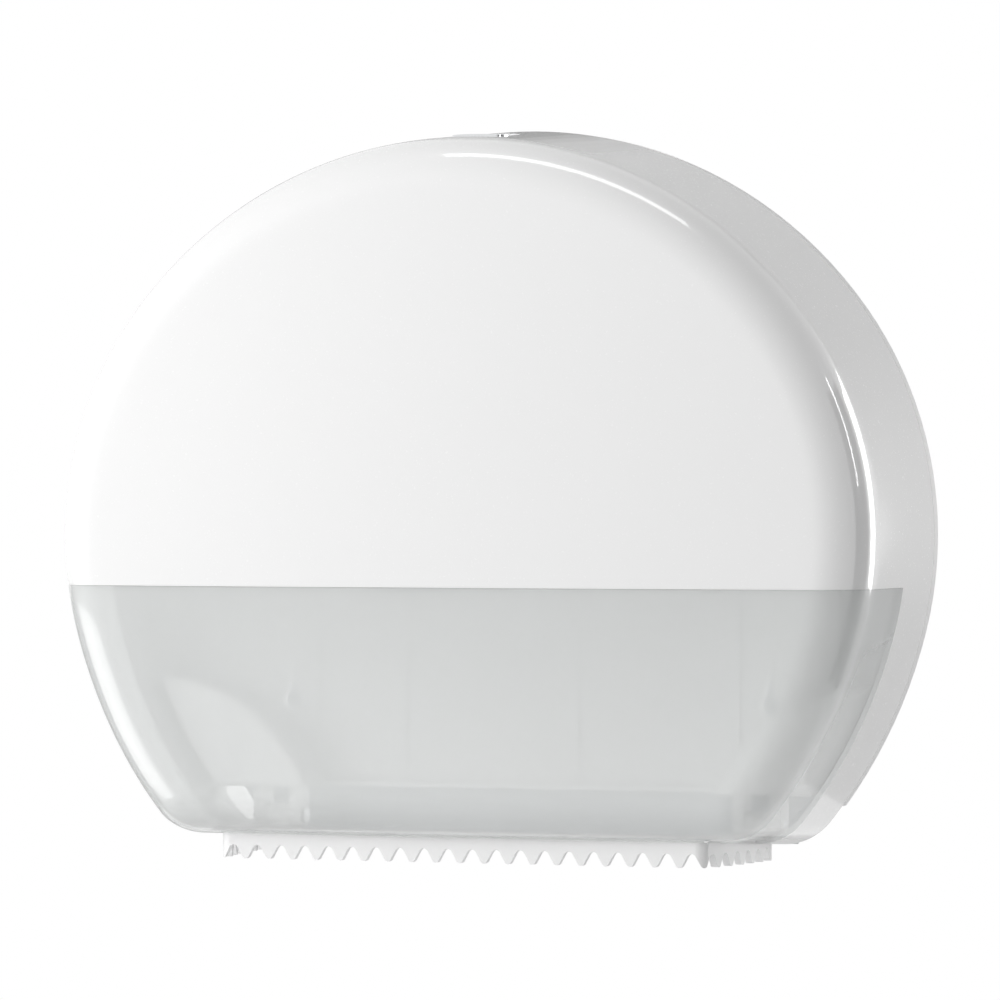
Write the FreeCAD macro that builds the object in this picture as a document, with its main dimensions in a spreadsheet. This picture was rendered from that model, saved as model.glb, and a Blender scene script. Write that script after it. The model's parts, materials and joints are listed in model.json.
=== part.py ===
import FreeCAD, Part
import math
import os
import re

import Sketcher

# Wall-mounted jumbo toilet roll dispenser. The wall is the plane Y = 0, the front looks along -Y and Z is up.
# The origin lies on the wall behind the middle of the nearly round cover. A depth is a distance out from
# the wall.
SIZES = {
    # the outline of the cover: arcs that run into each other from the top round to the flat bottom
    "top_radius": 224.0,
    "top_short": 6.7,
    "outline_top": "=top_radius - top_short",
    "bottom_short": 77.2,
    "outline_bottom": "=top_radius - bottom_short",
    "side_tighter": 29.0,
    "side_radius": "=top_radius - side_tighter",
    "side_centre": 23.5,
    "lower_wider": 60.0,
    "lower_radius": "=side_radius + lower_wider",
    "lower_centre": 34.6,
    "corner_radius": 32.0,
    # the cover and what closes it
    "total_depth": 133.0,
    "cover_gap": 0.3,
    "cover_wall": 2.5,
    "draft_angle": 2.4,
    "front_rounding": 27.0,
    "dome_radius": 2250.0,
    "dome_height": 15.0,
    "dome_reach": "=side_centre + side_radius + corner_radius",
    "window_top": 15.5,
    "window_rear": 51.0,
    "window_gap": 0.15,
    "lip_wall": 1.5,
    "lip_reach": 4.0,
    # the back plate
    "flange_depth": 6.0,
    "plate_floor": 2.5,
    "plate_wall": 2.5,
    "plate_short": 25.8,
    "plate_bottom": "=outline_bottom - plate_short",
    "plate_corner_inside": 25.0,
    "plate_corner": "=side_radius - plate_corner_inside",
    "plate_corner_short": 14.8,
    "plate_corner_bottom": "=outline_bottom - plate_corner_short",
    "rim_gap": 0.8,
    "rim_wall": 2.0,
    "rim_height": 4.0,
    "rim_short": 86.8,
    "rim_bottom": "=outline_bottom - rim_short",
    "rib_wall": 2.0,
    "rib_spacing": 90.0,
    "rib_height_low": 60.0,
    "rib_height_high": 120.0,
    "ledge_wall": 2.5,
    "ledge_depth": 3.0,
    "guide_rib_wall": 1.2,
    "guide_rib_depth": 1.0,
    "guide_rib_spacing": 53.0,
    "guide_rib_inside": 27.0,
    "guide_rib_outer": "=side_radius - guide_rib_inside",
    "guide_rib_inner": "=guide_rib_outer - guide_rib_spacing",
    "guide_rib_short": 51.8,
    "guide_rib_foot": "=outline_bottom - guide_rib_short",
    "guide_rib_outer_short": 40.0,
    "guide_rib_outer_foot": "=guide_rib_foot - guide_rib_outer_short",
    "panel_inner": 28.0,
    "panel_outer": 66.0,
    "panel_top": 29.0,
    "panel_short": 30.8,
    "panel_foot": "=outline_bottom - panel_short",
    "panel_depth": 0.8,
    # the keyholes for the wall screws
    "keyhole_inside": 64.2,
    "keyhole_side": "=side_radius - keyhole_inside",
    "keyhole_above_foot": 70.3,
    "keyhole_low": "=outline_bottom - keyhole_above_foot",
    "keyhole_high": 95.0,
    "keyhole_radius": 5.0,
    "keyhole_slot": 4.5,
    "keyhole_rise": 10.55,
    "keyhole_collar": 3.0,
    # the two corner pods that carry the hinges
    "pod_inside": 5.0,
    "pod_side": "=side_radius - pod_inside",
    "pod_centre_drop": 3.2,
    "pod_below": "=outline_bottom + pod_centre_drop",
    "pod_radius": 85.0,
    "pod_depth": 36.0,
    "pod_wall": 2.2,
    "pod_side_gap": 7.0,
    "pod_rounding": 5.0,
    # the hinges
    "hinge_inside": 64.0,
    "hinge_side": "=side_radius - hinge_inside",
    "hinge_depth": 20.0,
    "hinge_rise": 10.8,
    "hinge_below": "=outline_bottom - hinge_rise",
    "hinge_radius": 6.5,
    "knuckle_width": 13.2,
    "ear_wall": 6.0,
    "ear_gap": 0.3,
    "pin_radius": 2.5,
    "pin_head_radius": 4.0,
    "pin_head": 1.5,
    # the tear bar and the paper outlet
    "bar_front": 104.0,
    "bar_rear": 28.0,
    "bar_inside": 55.5,
    "bar_half_width": "=side_radius - bar_inside",
    "bar_side_radius": 275.6,
    "bar_wall": 3.5,
    "bar_flange": 5.0,
    "bar_rise": 8.6,
    "bar_top": "=outline_bottom - bar_rise",
    "bar_reach": 7.0,
    "bar_tip": "=outline_bottom + bar_reach",
    "bar_gap": 0.3,
    "bar_corner": 6.0,
    "tooth_height": 7.0,
    "tooth_pitch": 12.9,
    "tooth_tip_radius": 1.8,
    "tooth_root_radius": 2.6,
    "side_tooth_pitch": 12.1,
    # the spindle of the big roll
    "spindle_side": 62.0,
    "spindle_high": 34.0,
    "spindle_radius": 9.0,
    "spindle_flange_radius": 32.0,
    "spindle_flange": 4.0,
    "spindle_screw_circle": 24.0,
    "spring_radius": 16.0,
    "spring_wall": 0.8,
    "spring_height": 2.8,
    "brake_radius": 20.0,
    "brake_wall": 3.0,
    "hub_length": 84.75,
    "hub_radius": 28.5,
    "hub_front_radius": 27.6,
    "hub_wall": 2.2,
    "hub_web": 2.5,
    "hub_recess": 6.5,
    "hub_sleeve": 2.4,
    "hub_flange_radius": 55.0,
    "hub_flange": 2.5,
    "hub_fin_radius": 29.6,
    "hub_fin_wall": 2.4,
    "hub_fin_short": 4.0,
    "washer_radius": 13.0,
    "washer_wall": 1.5,
    "hub_screw_radius": 2.05,
    "hub_screw_head_radius": 4.5,
    "hub_screw_head": 2.6,
    "hub_screw_length": 18.0,
    "cap_wall": 2.2,
    "cap_edge": 0.6,
    "cap_spigot": 3.6,
    # the spindle of the stub roll
    "stub_side": 135.0,
    "stub_high": 18.0,
    "stub_radius": 7.0,
    "stub_flange_radius": 23.0,
    "stub_flange": 3.5,
    "stub_shoulder": 2.5,
    "stub_screw_circle": 17.0,
    "stub_groove": 1.3,
    "stub_groove_depth": 1.4,
    "stub_end": 3.2,
    "clip_radius": 9.5,
    "sleeve_length": 71.7,
    "sleeve_radius": 20.0,
    "sleeve_front_radius": 19.4,
    "sleeve_wall": 1.9,
    "sleeve_flange_radius": 30.0,
    "sleeve_flange": 2.0,
    # the screws that hold the spindles and the catch
    "screw_radius": 1.5,
    "screw_head_radius": 3.2,
    "screw_head": 2.2,
    "screw_length": 5.0,
    "boss_wall": 3.4,
    # the lock in the top of the cover
    "lock_depth": 66.0,
    "lock_sunk": 5.3,
    "lock_top": "=outline_top - lock_sunk",
    "lock_plate_wall": 2.0,
    "lock_plate_radius": 14.6,
    "lock_plate_straight": 13.0,
    "lock_plate_gap": 0.2,
    "lock_cup_wall": 2.5,
    "lock_body_radius": 12.0,
    "lock_body_length": 22.0,
    "lock_body_bottom": "=lock_top - lock_body_length",
    "lock_nut_radius": 19.0,
    "lock_nut_height": 5.0,
    "barrel_head_radius": 10.0,
    "barrel_head": 7.0,
    "barrel_sunk": 0.4,
    "barrel_radius": 7.0,
    "barrel_foot": 2.4,
    "barrel_square": 8.0,
    "key_slot": 1.8,
    "key_slot_length": 9.0,
    "key_slot_depth": 3.0,
    "key_eye_radius": 2.2,
    "cam_wall": 2.5,
    "cam_hub_radius": 9.5,
    "cam_finger_inner": 29.0,
    "cam_finger_outer": 33.5,
    "cam_arm_width": 8.0,
    "cam_arm_angle": -35.0,
    "cam_finger_start": -45.0,
    "cam_finger_sweep": 70.0,
    "cam_screw_head_radius": 5.0,
    "cam_screw_length": 10.0,
    # the catch on the back plate, which follows the lock
    "catch_wall": 2.5,
    "catch_half_width": 17.0,
    "catch_arm_drop": 14.5,
    "catch_arm_high": "=lock_body_bottom - catch_arm_drop",
    "catch_height": 17.5,
    "catch_foot": "=catch_arm_high - catch_height",
    "catch_arm_half_width": 8.0,
    "catch_tab_half_width": 4.0,
    "catch_tab_top": "=lock_body_bottom",
    "catch_short": 25.0,
    "catch_reach": "=lock_depth - catch_short",
    "catch_screw_side": 10.5,
    "catch_screw_rise": 8.0,
    "catch_screw_high": "=catch_foot + catch_screw_rise",
    # clearances
    "seat_gap": 0.05,
    "run_gap": 0.06,
    "face_gap": 0.15,
    "overrun": 1.0,
}
SPINDLE_SCREWS = 3
HUB_FINS = 6
STUB_SCREWS = 2
FRONT_GAPS = 20
SIDE_GAPS = 6

doc = FreeCAD.newDocument("dispenser")
sheet = doc.addObject("Spreadsheet::Sheet", "Sizes")
for row, (alias, number) in enumerate(SIZES.items(), start=1):
    sheet.set("A%d" % row, alias)
    sheet.set("B%d" % row, str(number))
    sheet.setAlias("B%d" % row, alias)
doc.recompute()

TOWARDS_FRONT = FreeCAD.Rotation(FreeCAD.Vector(1, 0, 0), 90)
ALONG_X = FreeCAD.Rotation(FreeCAD.Vector(0, 1, 0), 90)
UPRIGHT = FreeCAD.Rotation()


def size(alias):
    return float(sheet.get(alias))


def formula(text):
    """Turns a sum of size names into an expression that reads them from the sheet."""

    def in_sheet(match):
        word = match.group()
        return word if word in ("cos", "sin") else "Sizes." + word

    return re.sub(r"[a-z][a-z_]*", in_sheet, text)


def bind(thing, name, text):
    thing.setExpression(name, formula(text))


def put(thing, at, rotation=UPRIGHT):
    thing.Placement = FreeCAD.Placement(FreeCAD.Vector(), rotation)
    for axis, text in zip("xyz", at):
        if text != "0":
            bind(thing, "Placement.Base." + axis, text)
    return thing


def box(name, spans):
    """A box from three spans, each a pair of sums: the low and the high side along X, Y and Z."""
    thing = doc.addObject("Part::Box", name)
    for side, (low, high) in zip(("Length", "Width", "Height"), spans):
        bind(thing, side, "(%s) - (%s)" % (high, low))
    return put(thing, [low for low, high in spans])


def rod(name, radius, height, at, rotation=UPRIGHT):
    thing = doc.addObject("Part::Cylinder", name)
    bind(thing, "Radius", radius)
    bind(thing, "Height", height)
    return put(thing, at, rotation)


def fuse(name, things):
    if len(things) == 1:
        return things[0]
    joined = doc.addObject("Part::MultiFuse", name)
    joined.Shapes = things
    return joined


def cut(name, base, tools):
    rest = doc.addObject("Part::Cut", name)
    rest.Base = base
    rest.Tool = fuse(name + "_tools", tools)
    return rest


def common(name, things):
    shared = doc.addObject("Part::MultiCommon", name)
    shared.Shapes = things
    return shared


def group(name, things):
    together = doc.addObject("Part::Compound", name)
    together.Links = things
    return together


def plane(body, role):
    return [(item, "") for item in body.Origin.OriginFeatures if item.Role == role]


def sketch_on(body, role, name):
    sketch = body.newObject("Sketcher::SketchObject", name)
    sketch.AttachmentSupport = plane(body, role)
    sketch.MapMode = "FlatFace"
    return sketch


def hold(sketch, constraint, text):
    index = sketch.addConstraint(constraint)
    sketch.setExpression("Constraints[%d]" % index, formula(text))


def pin_point(sketch, edge, end, across, up):
    """Fixes a point of a sketch at the sums across and up."""
    for text, axis, kind in ((across, -2, "DistanceX"), (up, -1, "DistanceY")):
        if text == "0":
            sketch.addConstraint(Sketcher.Constraint("PointOnObject", edge, end, axis))
        else:
            hold(sketch, Sketcher.Constraint(kind, -1, 1, edge, end, 1.0), text)


def polygon(body, role, name, corners):
    """A closed sketch of straight lines through corners that are pairs of sums."""
    sketch = sketch_on(body, role, name)
    count = len(corners)
    for index in range(count):
        first = 2 * math.pi * index / count
        last = 2 * math.pi * (index + 1) / count
        start = FreeCAD.Vector(math.cos(first), math.sin(first), 0)
        stop = FreeCAD.Vector(math.cos(last), math.sin(last), 0)
        sketch.addGeometry(Part.LineSegment(start, stop))
    for index in range(count):
        sketch.addConstraint(Sketcher.Constraint("Coincident", index, 2, (index + 1) % count, 1))
    for index, (across, up) in enumerate(corners):
        pin_point(sketch, index, 1, across, up)
    return sketch


def turned(name, corners, at, rotation):
    """A turned piece: corners are pairs of radius and distance along its axis."""
    body = doc.addObject("PartDesign::Body", name)
    sketch = polygon(body, "XZ_Plane", name + "_profile", corners)
    turn = body.newObject("PartDesign::Revolution", name + "_turned")
    turn.Profile = sketch
    turn.ReferenceAxis = (sketch, ["V_Axis"])
    turn.Angle = 360
    put(body, at, rotation)
    doc.recompute()
    return body


def hole_circle(body, name, radius, circle, count):
    """Drills a ring of through holes, side by side with the axis of a turned piece."""
    sketch = sketch_on(body, "XY_Plane", name)
    sketch.addGeometry(Part.Circle(FreeCAD.Vector(0, size("screw_radius"), 0), FreeCAD.Vector(0, 0, 1), 1.0))
    hold(sketch, Sketcher.Constraint("Radius", 0, 1.0), radius)
    pin_point(sketch, 0, 3, "0", circle)
    hole = body.newObject("PartDesign::Pocket", name + "_hole")
    hole.Profile = sketch
    hole.Type = "ThroughAll"
    hole.Midplane = True
    ring = body.newObject("PartDesign::PolarPattern", name + "_ring")
    ring.Originals = [hole]
    ring.Axis = (sketch, ["N_Axis"])
    ring.Angle = 360
    ring.Occurrences = count
    body.Tip = ring
    doc.recompute()


# The outline and the solids that follow it


def outline(body, inset):
    """The outline of the cover, moved inwards by inset, as seven arcs and the flat bottom."""
    sketch = sketch_on(body, "XZ_Plane", body.Name + "_outline")
    step = size_of_inset(inset)
    names = ("top_radius", "side_radius", "lower_radius", "corner_radius")
    radii = [size(name) - step for name in names]
    middle = (0.0, size("outline_top") - size("top_radius"))
    first = math.asin(size("side_centre") / (radii[0] - radii[1]))
    side = (size("side_centre"), middle[1] + (radii[0] - radii[1]) * math.cos(first))
    second = math.pi - math.asin((size("side_centre") + size("lower_centre")) / (radii[2] - radii[1]))
    lower = (-size("lower_centre"), side[1] - (radii[2] - radii[1]) * math.cos(second))
    bottom = step - size("outline_bottom")
    third = math.pi - math.acos((lower[1] - bottom - radii[3]) / (radii[2] - radii[3]))
    corner = (lower[0] + (radii[2] - radii[3]) * math.sin(third), bottom + radii[3])
    turns = (first, second, third, math.pi)
    centres = (side, lower, corner)

    def arc(centre, radius, start, stop):
        circle = Part.Circle(FreeCAD.Vector(centre[0], centre[1], 0), FreeCAD.Vector(0, 0, 1), radius)
        return Part.ArcOfCircle(circle, start, stop)

    up = math.pi / 2
    sketch.addGeometry(arc(middle, radii[0], up - first, up + first))
    for index in range(3):
        sketch.addGeometry(arc(centres[index], radii[index + 1], up - turns[index + 1], up - turns[index]))
    sketch.addGeometry(
        Part.LineSegment(FreeCAD.Vector(corner[0], bottom, 0), FreeCAD.Vector(-corner[0], bottom, 0))
    )
    for index in (2, 1, 0):
        centre = (-centres[index][0], centres[index][1])
        sketch.addGeometry(arc(centre, radii[index + 1], up + turns[index], up + turns[index + 1]))
    for join in (
        (0, 1, 1, 2),
        (1, 1, 2, 2),
        (2, 1, 3, 2),
        (3, 1, 4, 1),
        (4, 2, 5, 2),
        (5, 1, 6, 2),
        (6, 1, 7, 2),
        (7, 1, 0, 2),
    ):
        sketch.addConstraint(Sketcher.Constraint("Tangent", *join))
    for edge, index in ((0, 0), (1, 1), (2, 2), (3, 3), (5, 3), (6, 2), (7, 1)):
        hold(sketch, Sketcher.Constraint("Radius", edge, radii[index]), "%s - (%s)" % (names[index], inset))
    sketch.addConstraint(Sketcher.Constraint("PointOnObject", 0, 3, -2))
    hold(sketch, Sketcher.Constraint("DistanceY", -1, 1, 0, 3, middle[1]), "outline_top - top_radius")
    for edge, start, text in (
        (1, side[0], "side_centre"),
        (7, -side[0], "-side_centre"),
        (2, lower[0], "-lower_centre"),
        (6, -lower[0], "lower_centre"),
    ):
        hold(sketch, Sketcher.Constraint("DistanceX", -1, 1, edge, 3, start), text)
    sketch.addConstraint(Sketcher.Constraint("Horizontal", 4))
    hold(sketch, Sketcher.Constraint("DistanceY", -1, 1, 4, 1, bottom), "(%s) - outline_bottom" % inset)
    return sketch


def size_of_inset(inset):
    """The value of an inset, which is a plain sum of size names."""
    return sum(size(name) for name in inset.split(" + ") if name != "0")


def outline_slab(name, inset, rear, front):
    """A slab with the outline, moved inwards by inset, from depth rear to depth front."""
    body = doc.addObject("PartDesign::Body", name)
    sketch = outline(body, inset)
    slab = body.newObject("PartDesign::Pad", name + "_pad")
    slab.Profile = sketch
    bind(slab, "Length", "(%s) - (%s)" % (front, rear))
    put(body, ("0", "-(%s)" % rear, "0"))
    doc.recompute()
    return body


def cover_form(name, inset):
    """The cover as a full form, moved inwards by inset: drafted walls and a rounded front edge."""
    body = doc.addObject("PartDesign::Body", name)
    sketch = outline(body, inset)
    pad = body.newObject("PartDesign::Pad", name + "_pad")
    pad.Profile = sketch
    bind(pad, "Length", "total_depth - flange_depth - cover_gap - (%s)" % inset)
    bind(pad, "TaperAngle", "-draft_angle")
    doc.recompute()
    domed = dome_cut(body, name, inset)
    depths = [face.CenterOfMass.y for face in domed.Shape.Faces]
    front = depths.index(min(depths)) + 1
    rounding = body.newObject("PartDesign::Fillet", name + "_rounding")
    rounding.Base = (domed, ["Face%d" % front])
    bind(rounding, "Radius", "front_rounding - (%s)" % inset)
    put(body, ("0", "-flange_depth - cover_gap", "0"))
    doc.recompute()
    return body


def dome_cut(body, name, inset):
    """Turns away the flat front of the cover's form, so that a very shallow dome stays."""
    sketch = sketch_on(body, "YZ_Plane", name + "_dome_profile")
    bind(sketch, "AttachmentOffset.Base.y", "dome_height")
    reach = size("dome_reach")
    radius = size("dome_radius") - size_of_inset(inset)
    front = size("flange_depth") + size("cover_gap") + size_of_inset(inset) - size("total_depth")
    outside = front - size("overrun")
    middle = front + radius
    lean = math.asin(reach / radius)
    circle = Part.Circle(FreeCAD.Vector(middle, 0, 0), FreeCAD.Vector(0, 0, 1), radius)
    rim = FreeCAD.Vector(middle - radius * math.cos(lean), reach, 0)
    sketch.addGeometry(Part.ArcOfCircle(circle, math.pi - lean, math.pi))
    sketch.addGeometry(Part.LineSegment(rim, FreeCAD.Vector(outside, reach, 0)))
    sketch.addGeometry(Part.LineSegment(FreeCAD.Vector(outside, reach, 0), FreeCAD.Vector(outside, 0, 0)))
    sketch.addGeometry(Part.LineSegment(FreeCAD.Vector(outside, 0, 0), FreeCAD.Vector(front, 0, 0)))
    for kind, *ends in (
        ("Coincident", 0, 1, 1, 1),
        ("Coincident", 1, 2, 2, 1),
        ("Coincident", 2, 2, 3, 1),
        ("Coincident", 3, 2, 0, 2),
        ("Horizontal", 1),
        ("Vertical", 2),
        ("PointOnObject", 3, 1, -1),
        ("PointOnObject", 3, 2, -1),
        ("PointOnObject", 0, 3, -1),
    ):
        sketch.addConstraint(Sketcher.Constraint(kind, *ends))
    hold(sketch, Sketcher.Constraint("Radius", 0, radius), "dome_radius - (%s)" % inset)
    face = "flange_depth + cover_gap + (%s) - total_depth" % inset
    hold(sketch, Sketcher.Constraint("DistanceX", -1, 1, 0, 2, front), face)
    hold(sketch, Sketcher.Constraint("DistanceX", -1, 1, 2, 2, outside), face + " - overrun")
    hold(sketch, Sketcher.Constraint("DistanceY", -1, 1, 2, 1, reach), "dome_reach")
    dome = body.newObject("PartDesign::Groove", name + "_dome")
    dome.Profile = sketch
    dome.ReferenceAxis = (sketch, ["H_Axis"])
    dome.Angle = 360
    doc.recompute()
    return dome


LEFT_TO_RIGHT = ("-side_centre - side_radius - overrun", "side_centre + side_radius + overrun")


# The back plate


def pod(name, sign, inset, shrink, rear, front):
    """A corner pod as a full form: the outline cut by a round top and a level foot."""
    slab = outline_slab(name + "_slab", inset, rear, front)
    round_top = rod(
        name + "_round",
        "pod_radius - (%s)" % shrink,
        "(%s) - (%s) + overrun * 2" % (front, rear),
        ("%spod_side" % sign, "-(%s) + overrun" % rear, "-pod_below"),
        TOWARDS_FRONT,
    )
    spans = (
        ("-pod_side * 2", "0") if sign else ("0", "pod_side * 2"),
        ("-(%s) - overrun" % front, "overrun - (%s)" % rear),
        ("-plate_bottom + (%s)" % shrink, "outline_top"),
    )
    return common(name, [slab, round_top, box(name + "_half", spans)])


def rounded_pod(name, whole):
    doc.recompute()
    front = -size("pod_depth")
    edges = [
        index
        for index, edge in enumerate(whole.Shape.Edges, start=1)
        if abs(edge.BoundBox.YMin - front) < size("seat_gap") and edge.BoundBox.YLength < size("seat_gap")
    ]
    rounded = doc.addObject("Part::Fillet", name)
    rounded.Base = whole
    rounded.Edges = [(index, size("pod_rounding"), size("pod_rounding")) for index in edges]
    return rounded


def keyhole(name, sign, high):
    """A round hole with a slot above it, cut through the plate's floor."""
    centre = "%skeyhole_side" % sign
    reach = "flange_depth + overrun * 2"
    big = rod(name + "_eye", "keyhole_radius", reach, (centre, "overrun", high), TOWARDS_FRONT)
    top = rod(
        name + "_end",
        "keyhole_slot / 2",
        reach,
        (centre, "overrun", "%s + keyhole_rise" % high),
        TOWARDS_FRONT,
    )
    slot = box(
        name + "_slot",
        (
            ("%s - keyhole_slot / 2" % centre, "%s + keyhole_slot / 2" % centre),
            ("-flange_depth - overrun", "overrun"),
            (high, "%s + keyhole_rise" % high),
        ),
    )
    return [big, top, slot]


def keyhole_collar(name, sign, high):
    """The block round a keyhole that reaches back to the wall."""
    centre = "%skeyhole_side" % sign
    reach = "keyhole_radius + keyhole_collar"
    return box(
        name,
        (
            ("%s - (%s)" % (centre, reach), "%s + %s" % (centre, reach)),
            ("plate_floor - flange_depth", "0"),
            ("%s - (%s)" % (high, reach), "%s + keyhole_rise + keyhole_collar" % high),
        ),
    )


def spread(circle, count, turn):
    """Places of screws on a circle, as pairs of sums across and up from its middle."""
    places = []
    for index in range(count):
        angle = turn + 360 * index / count
        places.append(("(%s) * cos(%g)" % (circle, angle), "(%s) * sin(%g)" % (circle, angle)))
    return places


def screw_places():
    """Every screw that goes into the back plate, as (group, depth of its seat, across, up)."""
    places = []
    seat = "flange_depth + spindle_flange"
    for across, up in spread("spindle_screw_circle", SPINDLE_SCREWS, 90):
        places.append(("spindle_screws", seat, "-spindle_side + " + across, "spindle_high + " + up))
    seat = "flange_depth + stub_flange"
    for across, up in spread("stub_screw_circle", STUB_SCREWS, 90):
        places.append(("stub_screws", seat, "stub_side + " + across, "stub_high + " + up))
    seat = "flange_depth + catch_wall"
    for sign in ("-", ""):
        places.append(("catch_screws", seat, sign + "catch_screw_side", "catch_screw_high"))
    return places


def panel(name, sign):
    """A shallow recess with a round top in the front of the plate."""
    middle = "%s(panel_inner + panel_outer) / 2" % sign
    half = "(panel_outer - panel_inner) / 2"
    low, high = ("-panel_outer", "-panel_inner") if sign else ("panel_inner", "panel_outer")
    straight = box(
        name + "_straight",
        (
            (low, high),
            ("-flange_depth - overrun", "panel_depth - flange_depth"),
            ("-panel_foot", "-panel_top - %s" % half),
        ),
    )
    top = rod(
        name + "_top",
        half,
        "panel_depth + overrun",
        (middle, "panel_depth - flange_depth", "-panel_top - %s" % half),
        TOWARDS_FRONT,
    )
    return [straight, top]


def guide_rib(name, sign, side, foot):
    """An upright rib on the front of the plate, beside the paper."""
    return box(
        name,
        (
            ("%s%s - guide_rib_wall / 2" % (sign, side), "%s%s + guide_rib_wall / 2" % (sign, side)),
            ("-flange_depth - guide_rib_depth", "-flange_depth"),
            ("-%s" % foot, "0"),
        ),
    )


def ear(name, sign, inner, outer):
    """A hinge ear that hangs from a pod down to the hinge axis."""
    low, high = ("-(%s)" % outer, "-(%s)" % inner) if sign else (inner, outer)
    depth = ("-hinge_depth - hinge_radius", "-hinge_depth + hinge_radius")
    hanger = box(name + "_hanger", ((low, high), depth, ("-hinge_below", "-plate_bottom + pod_wall / 2")))
    wide = "(%s) - (%s)" % (high, low)
    eye = rod(name + "_eye", "hinge_radius", wide, (low, "-hinge_depth", "-hinge_below"), ALONG_X)
    return [hanger, eye]


def make_ribs():
    """The grid of ribs behind the plate's floor, which reaches back to the wall."""
    rear = ("plate_floor - flange_depth", "0")
    ribs = []
    for index, at in enumerate(("-rib_spacing", "0", "rib_spacing")):
        thick = ("%s - rib_wall / 2" % at, "%s + rib_wall / 2" % at)
        ribs.append(box("rib_%d" % index, (thick, rear, ("-plate_bottom", "outline_top"))))
    heights = ("rib_wall / 2 - plate_bottom", "-rib_height_low", "spindle_high", "rib_height_high")
    for index, at in enumerate(heights):
        thick = ("%s - rib_wall / 2" % at, "%s + rib_wall / 2" % at)
        ribs.append(box("rib_level_%d" % index, (LEFT_TO_RIGHT, rear, thick)))
    envelope = outline_slab("rib_envelope", "plate_wall", "0", "flange_depth - plate_floor")
    return common("plate_ribs", [fuse("rib_grid", ribs), envelope])


def make_locating_rim():
    """The low rim on the plate's front that the closed cover fits round."""
    rim_outer = outline_slab("rim_outer", "cover_wall + rim_gap", "flange_depth", "flange_depth + rim_height")
    rim_inner = outline_slab(
        "rim_inner", "cover_wall + rim_gap + rim_wall", "flange_depth", "flange_depth + rim_height"
    )
    above = box(
        "rim_span",
        (LEFT_TO_RIGHT, ("-flange_depth - rim_height", "-flange_depth"), ("-rim_bottom", "outline_top")),
    )
    return common("locating_rim", [cut("rim_ring", rim_outer, [rim_inner]), above])


def make_plate_floor(hollow_pods):
    """The plate with its ribs, rim, keyholes, recesses and screw bosses, open where the paper comes out."""
    slab = outline_slab("plate_slab", "0", "0", "flange_depth")
    hollow = outline_slab("plate_hollow", "plate_wall", "0", "flange_depth - plate_floor")
    added = [cut("plate_tray", slab, [hollow]), make_ribs(), make_locating_rim()]
    removed = list(hollow_pods)
    for side_name, sign in (("left", "-"), ("right", "")):
        for height_name, high in (("low", "-keyhole_low"), ("high", "keyhole_high")):
            name = "keyhole_%s_%s" % (side_name, height_name)
            added.append(keyhole_collar(name + "_collar", sign, high))
            removed += keyhole(name, sign, high)
        removed += panel("panel_" + side_name, sign)
        added.append(guide_rib("guide_inner_" + side_name, sign, "guide_rib_inner", "guide_rib_foot"))
        added.append(guide_rib("guide_outer_" + side_name, sign, "guide_rib_outer", "guide_rib_outer_foot"))
    added.append(
        box(
            "ledge",
            (
                ("-guide_rib_inner", "guide_rib_inner"),
                ("-flange_depth - ledge_depth", "-flange_depth"),
                ("-plate_bottom", "-plate_bottom + ledge_wall"),
            ),
        )
    )
    for index, (owner, seat, across, up) in enumerate(screw_places()):
        boss = rod(
            "boss_%d" % index,
            "screw_radius + boss_wall",
            "flange_depth - plate_floor",
            (across, "0", up),
            TOWARDS_FRONT,
        )
        pilot = rod(
            "pilot_%d" % index,
            "screw_radius + seat_gap",
            "flange_depth + overrun * 2",
            (across, "overrun", up),
            TOWARDS_FRONT,
        )
        added.append(boss)
        removed.append(pilot)

    through = ("-flange_depth - ledge_depth - overrun", "overrun")
    removed.append(
        box(
            "open_bottom",
            (("-plate_corner", "plate_corner"), through, ("-outline_bottom - overrun", "-plate_bottom")),
        )
    )
    removed.append(
        box(
            "open_corners",
            (LEFT_TO_RIGHT, through, ("-outline_bottom - overrun", "-plate_corner_bottom")),
        )
    )
    return cut("plate_floor_cut", fuse("plate_added", added), removed)


def make_back_plate():
    pods = []
    hollow_pods = []
    for side_name, sign in (("left", "-"), ("right", "")):
        inset = "cover_wall + pod_side_gap"
        whole = pod("pod_" + side_name, sign, inset, "0", "flange_depth - plate_floor", "pod_depth")
        rounded = rounded_pod("pod_rounded_" + side_name, whole)
        inside = inset + " + pod_wall"
        hollow = pod("pod_hollow_" + side_name, sign, inside, "pod_wall", "-overrun", "pod_depth - pod_wall")
        pods.append(cut("pod_skin_" + side_name, rounded, [hollow]))
        hollow_pods.append(hollow)
    floor = make_plate_floor(hollow_pods)

    ears = []
    bores = []
    for side_name, sign in (("left", "-"), ("right", "")):
        start = "hinge_side - knuckle_width / 2 - ear_gap"
        stop = "hinge_side + knuckle_width / 2 + ear_gap"
        ears += ear("ear_inner_" + side_name, sign, start + " - ear_wall", start)
        ears += ear("ear_outer_" + side_name, sign, stop, stop + " + ear_wall")
        low = "-(%s + ear_wall + overrun)" % stop if sign else "%s - ear_wall - overrun" % start
        bores.append(
            rod(
                "ear_bore_" + side_name,
                "pin_radius + seat_gap",
                "knuckle_width + ear_gap * 2 + ear_wall * 2 + overrun * 2",
                (low, "-hinge_depth", "-hinge_below"),
                ALONG_X,
            )
        )
    return cut("back_plate", fuse("plate_with_ears", [floor] + pods + ears), bores)


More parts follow.
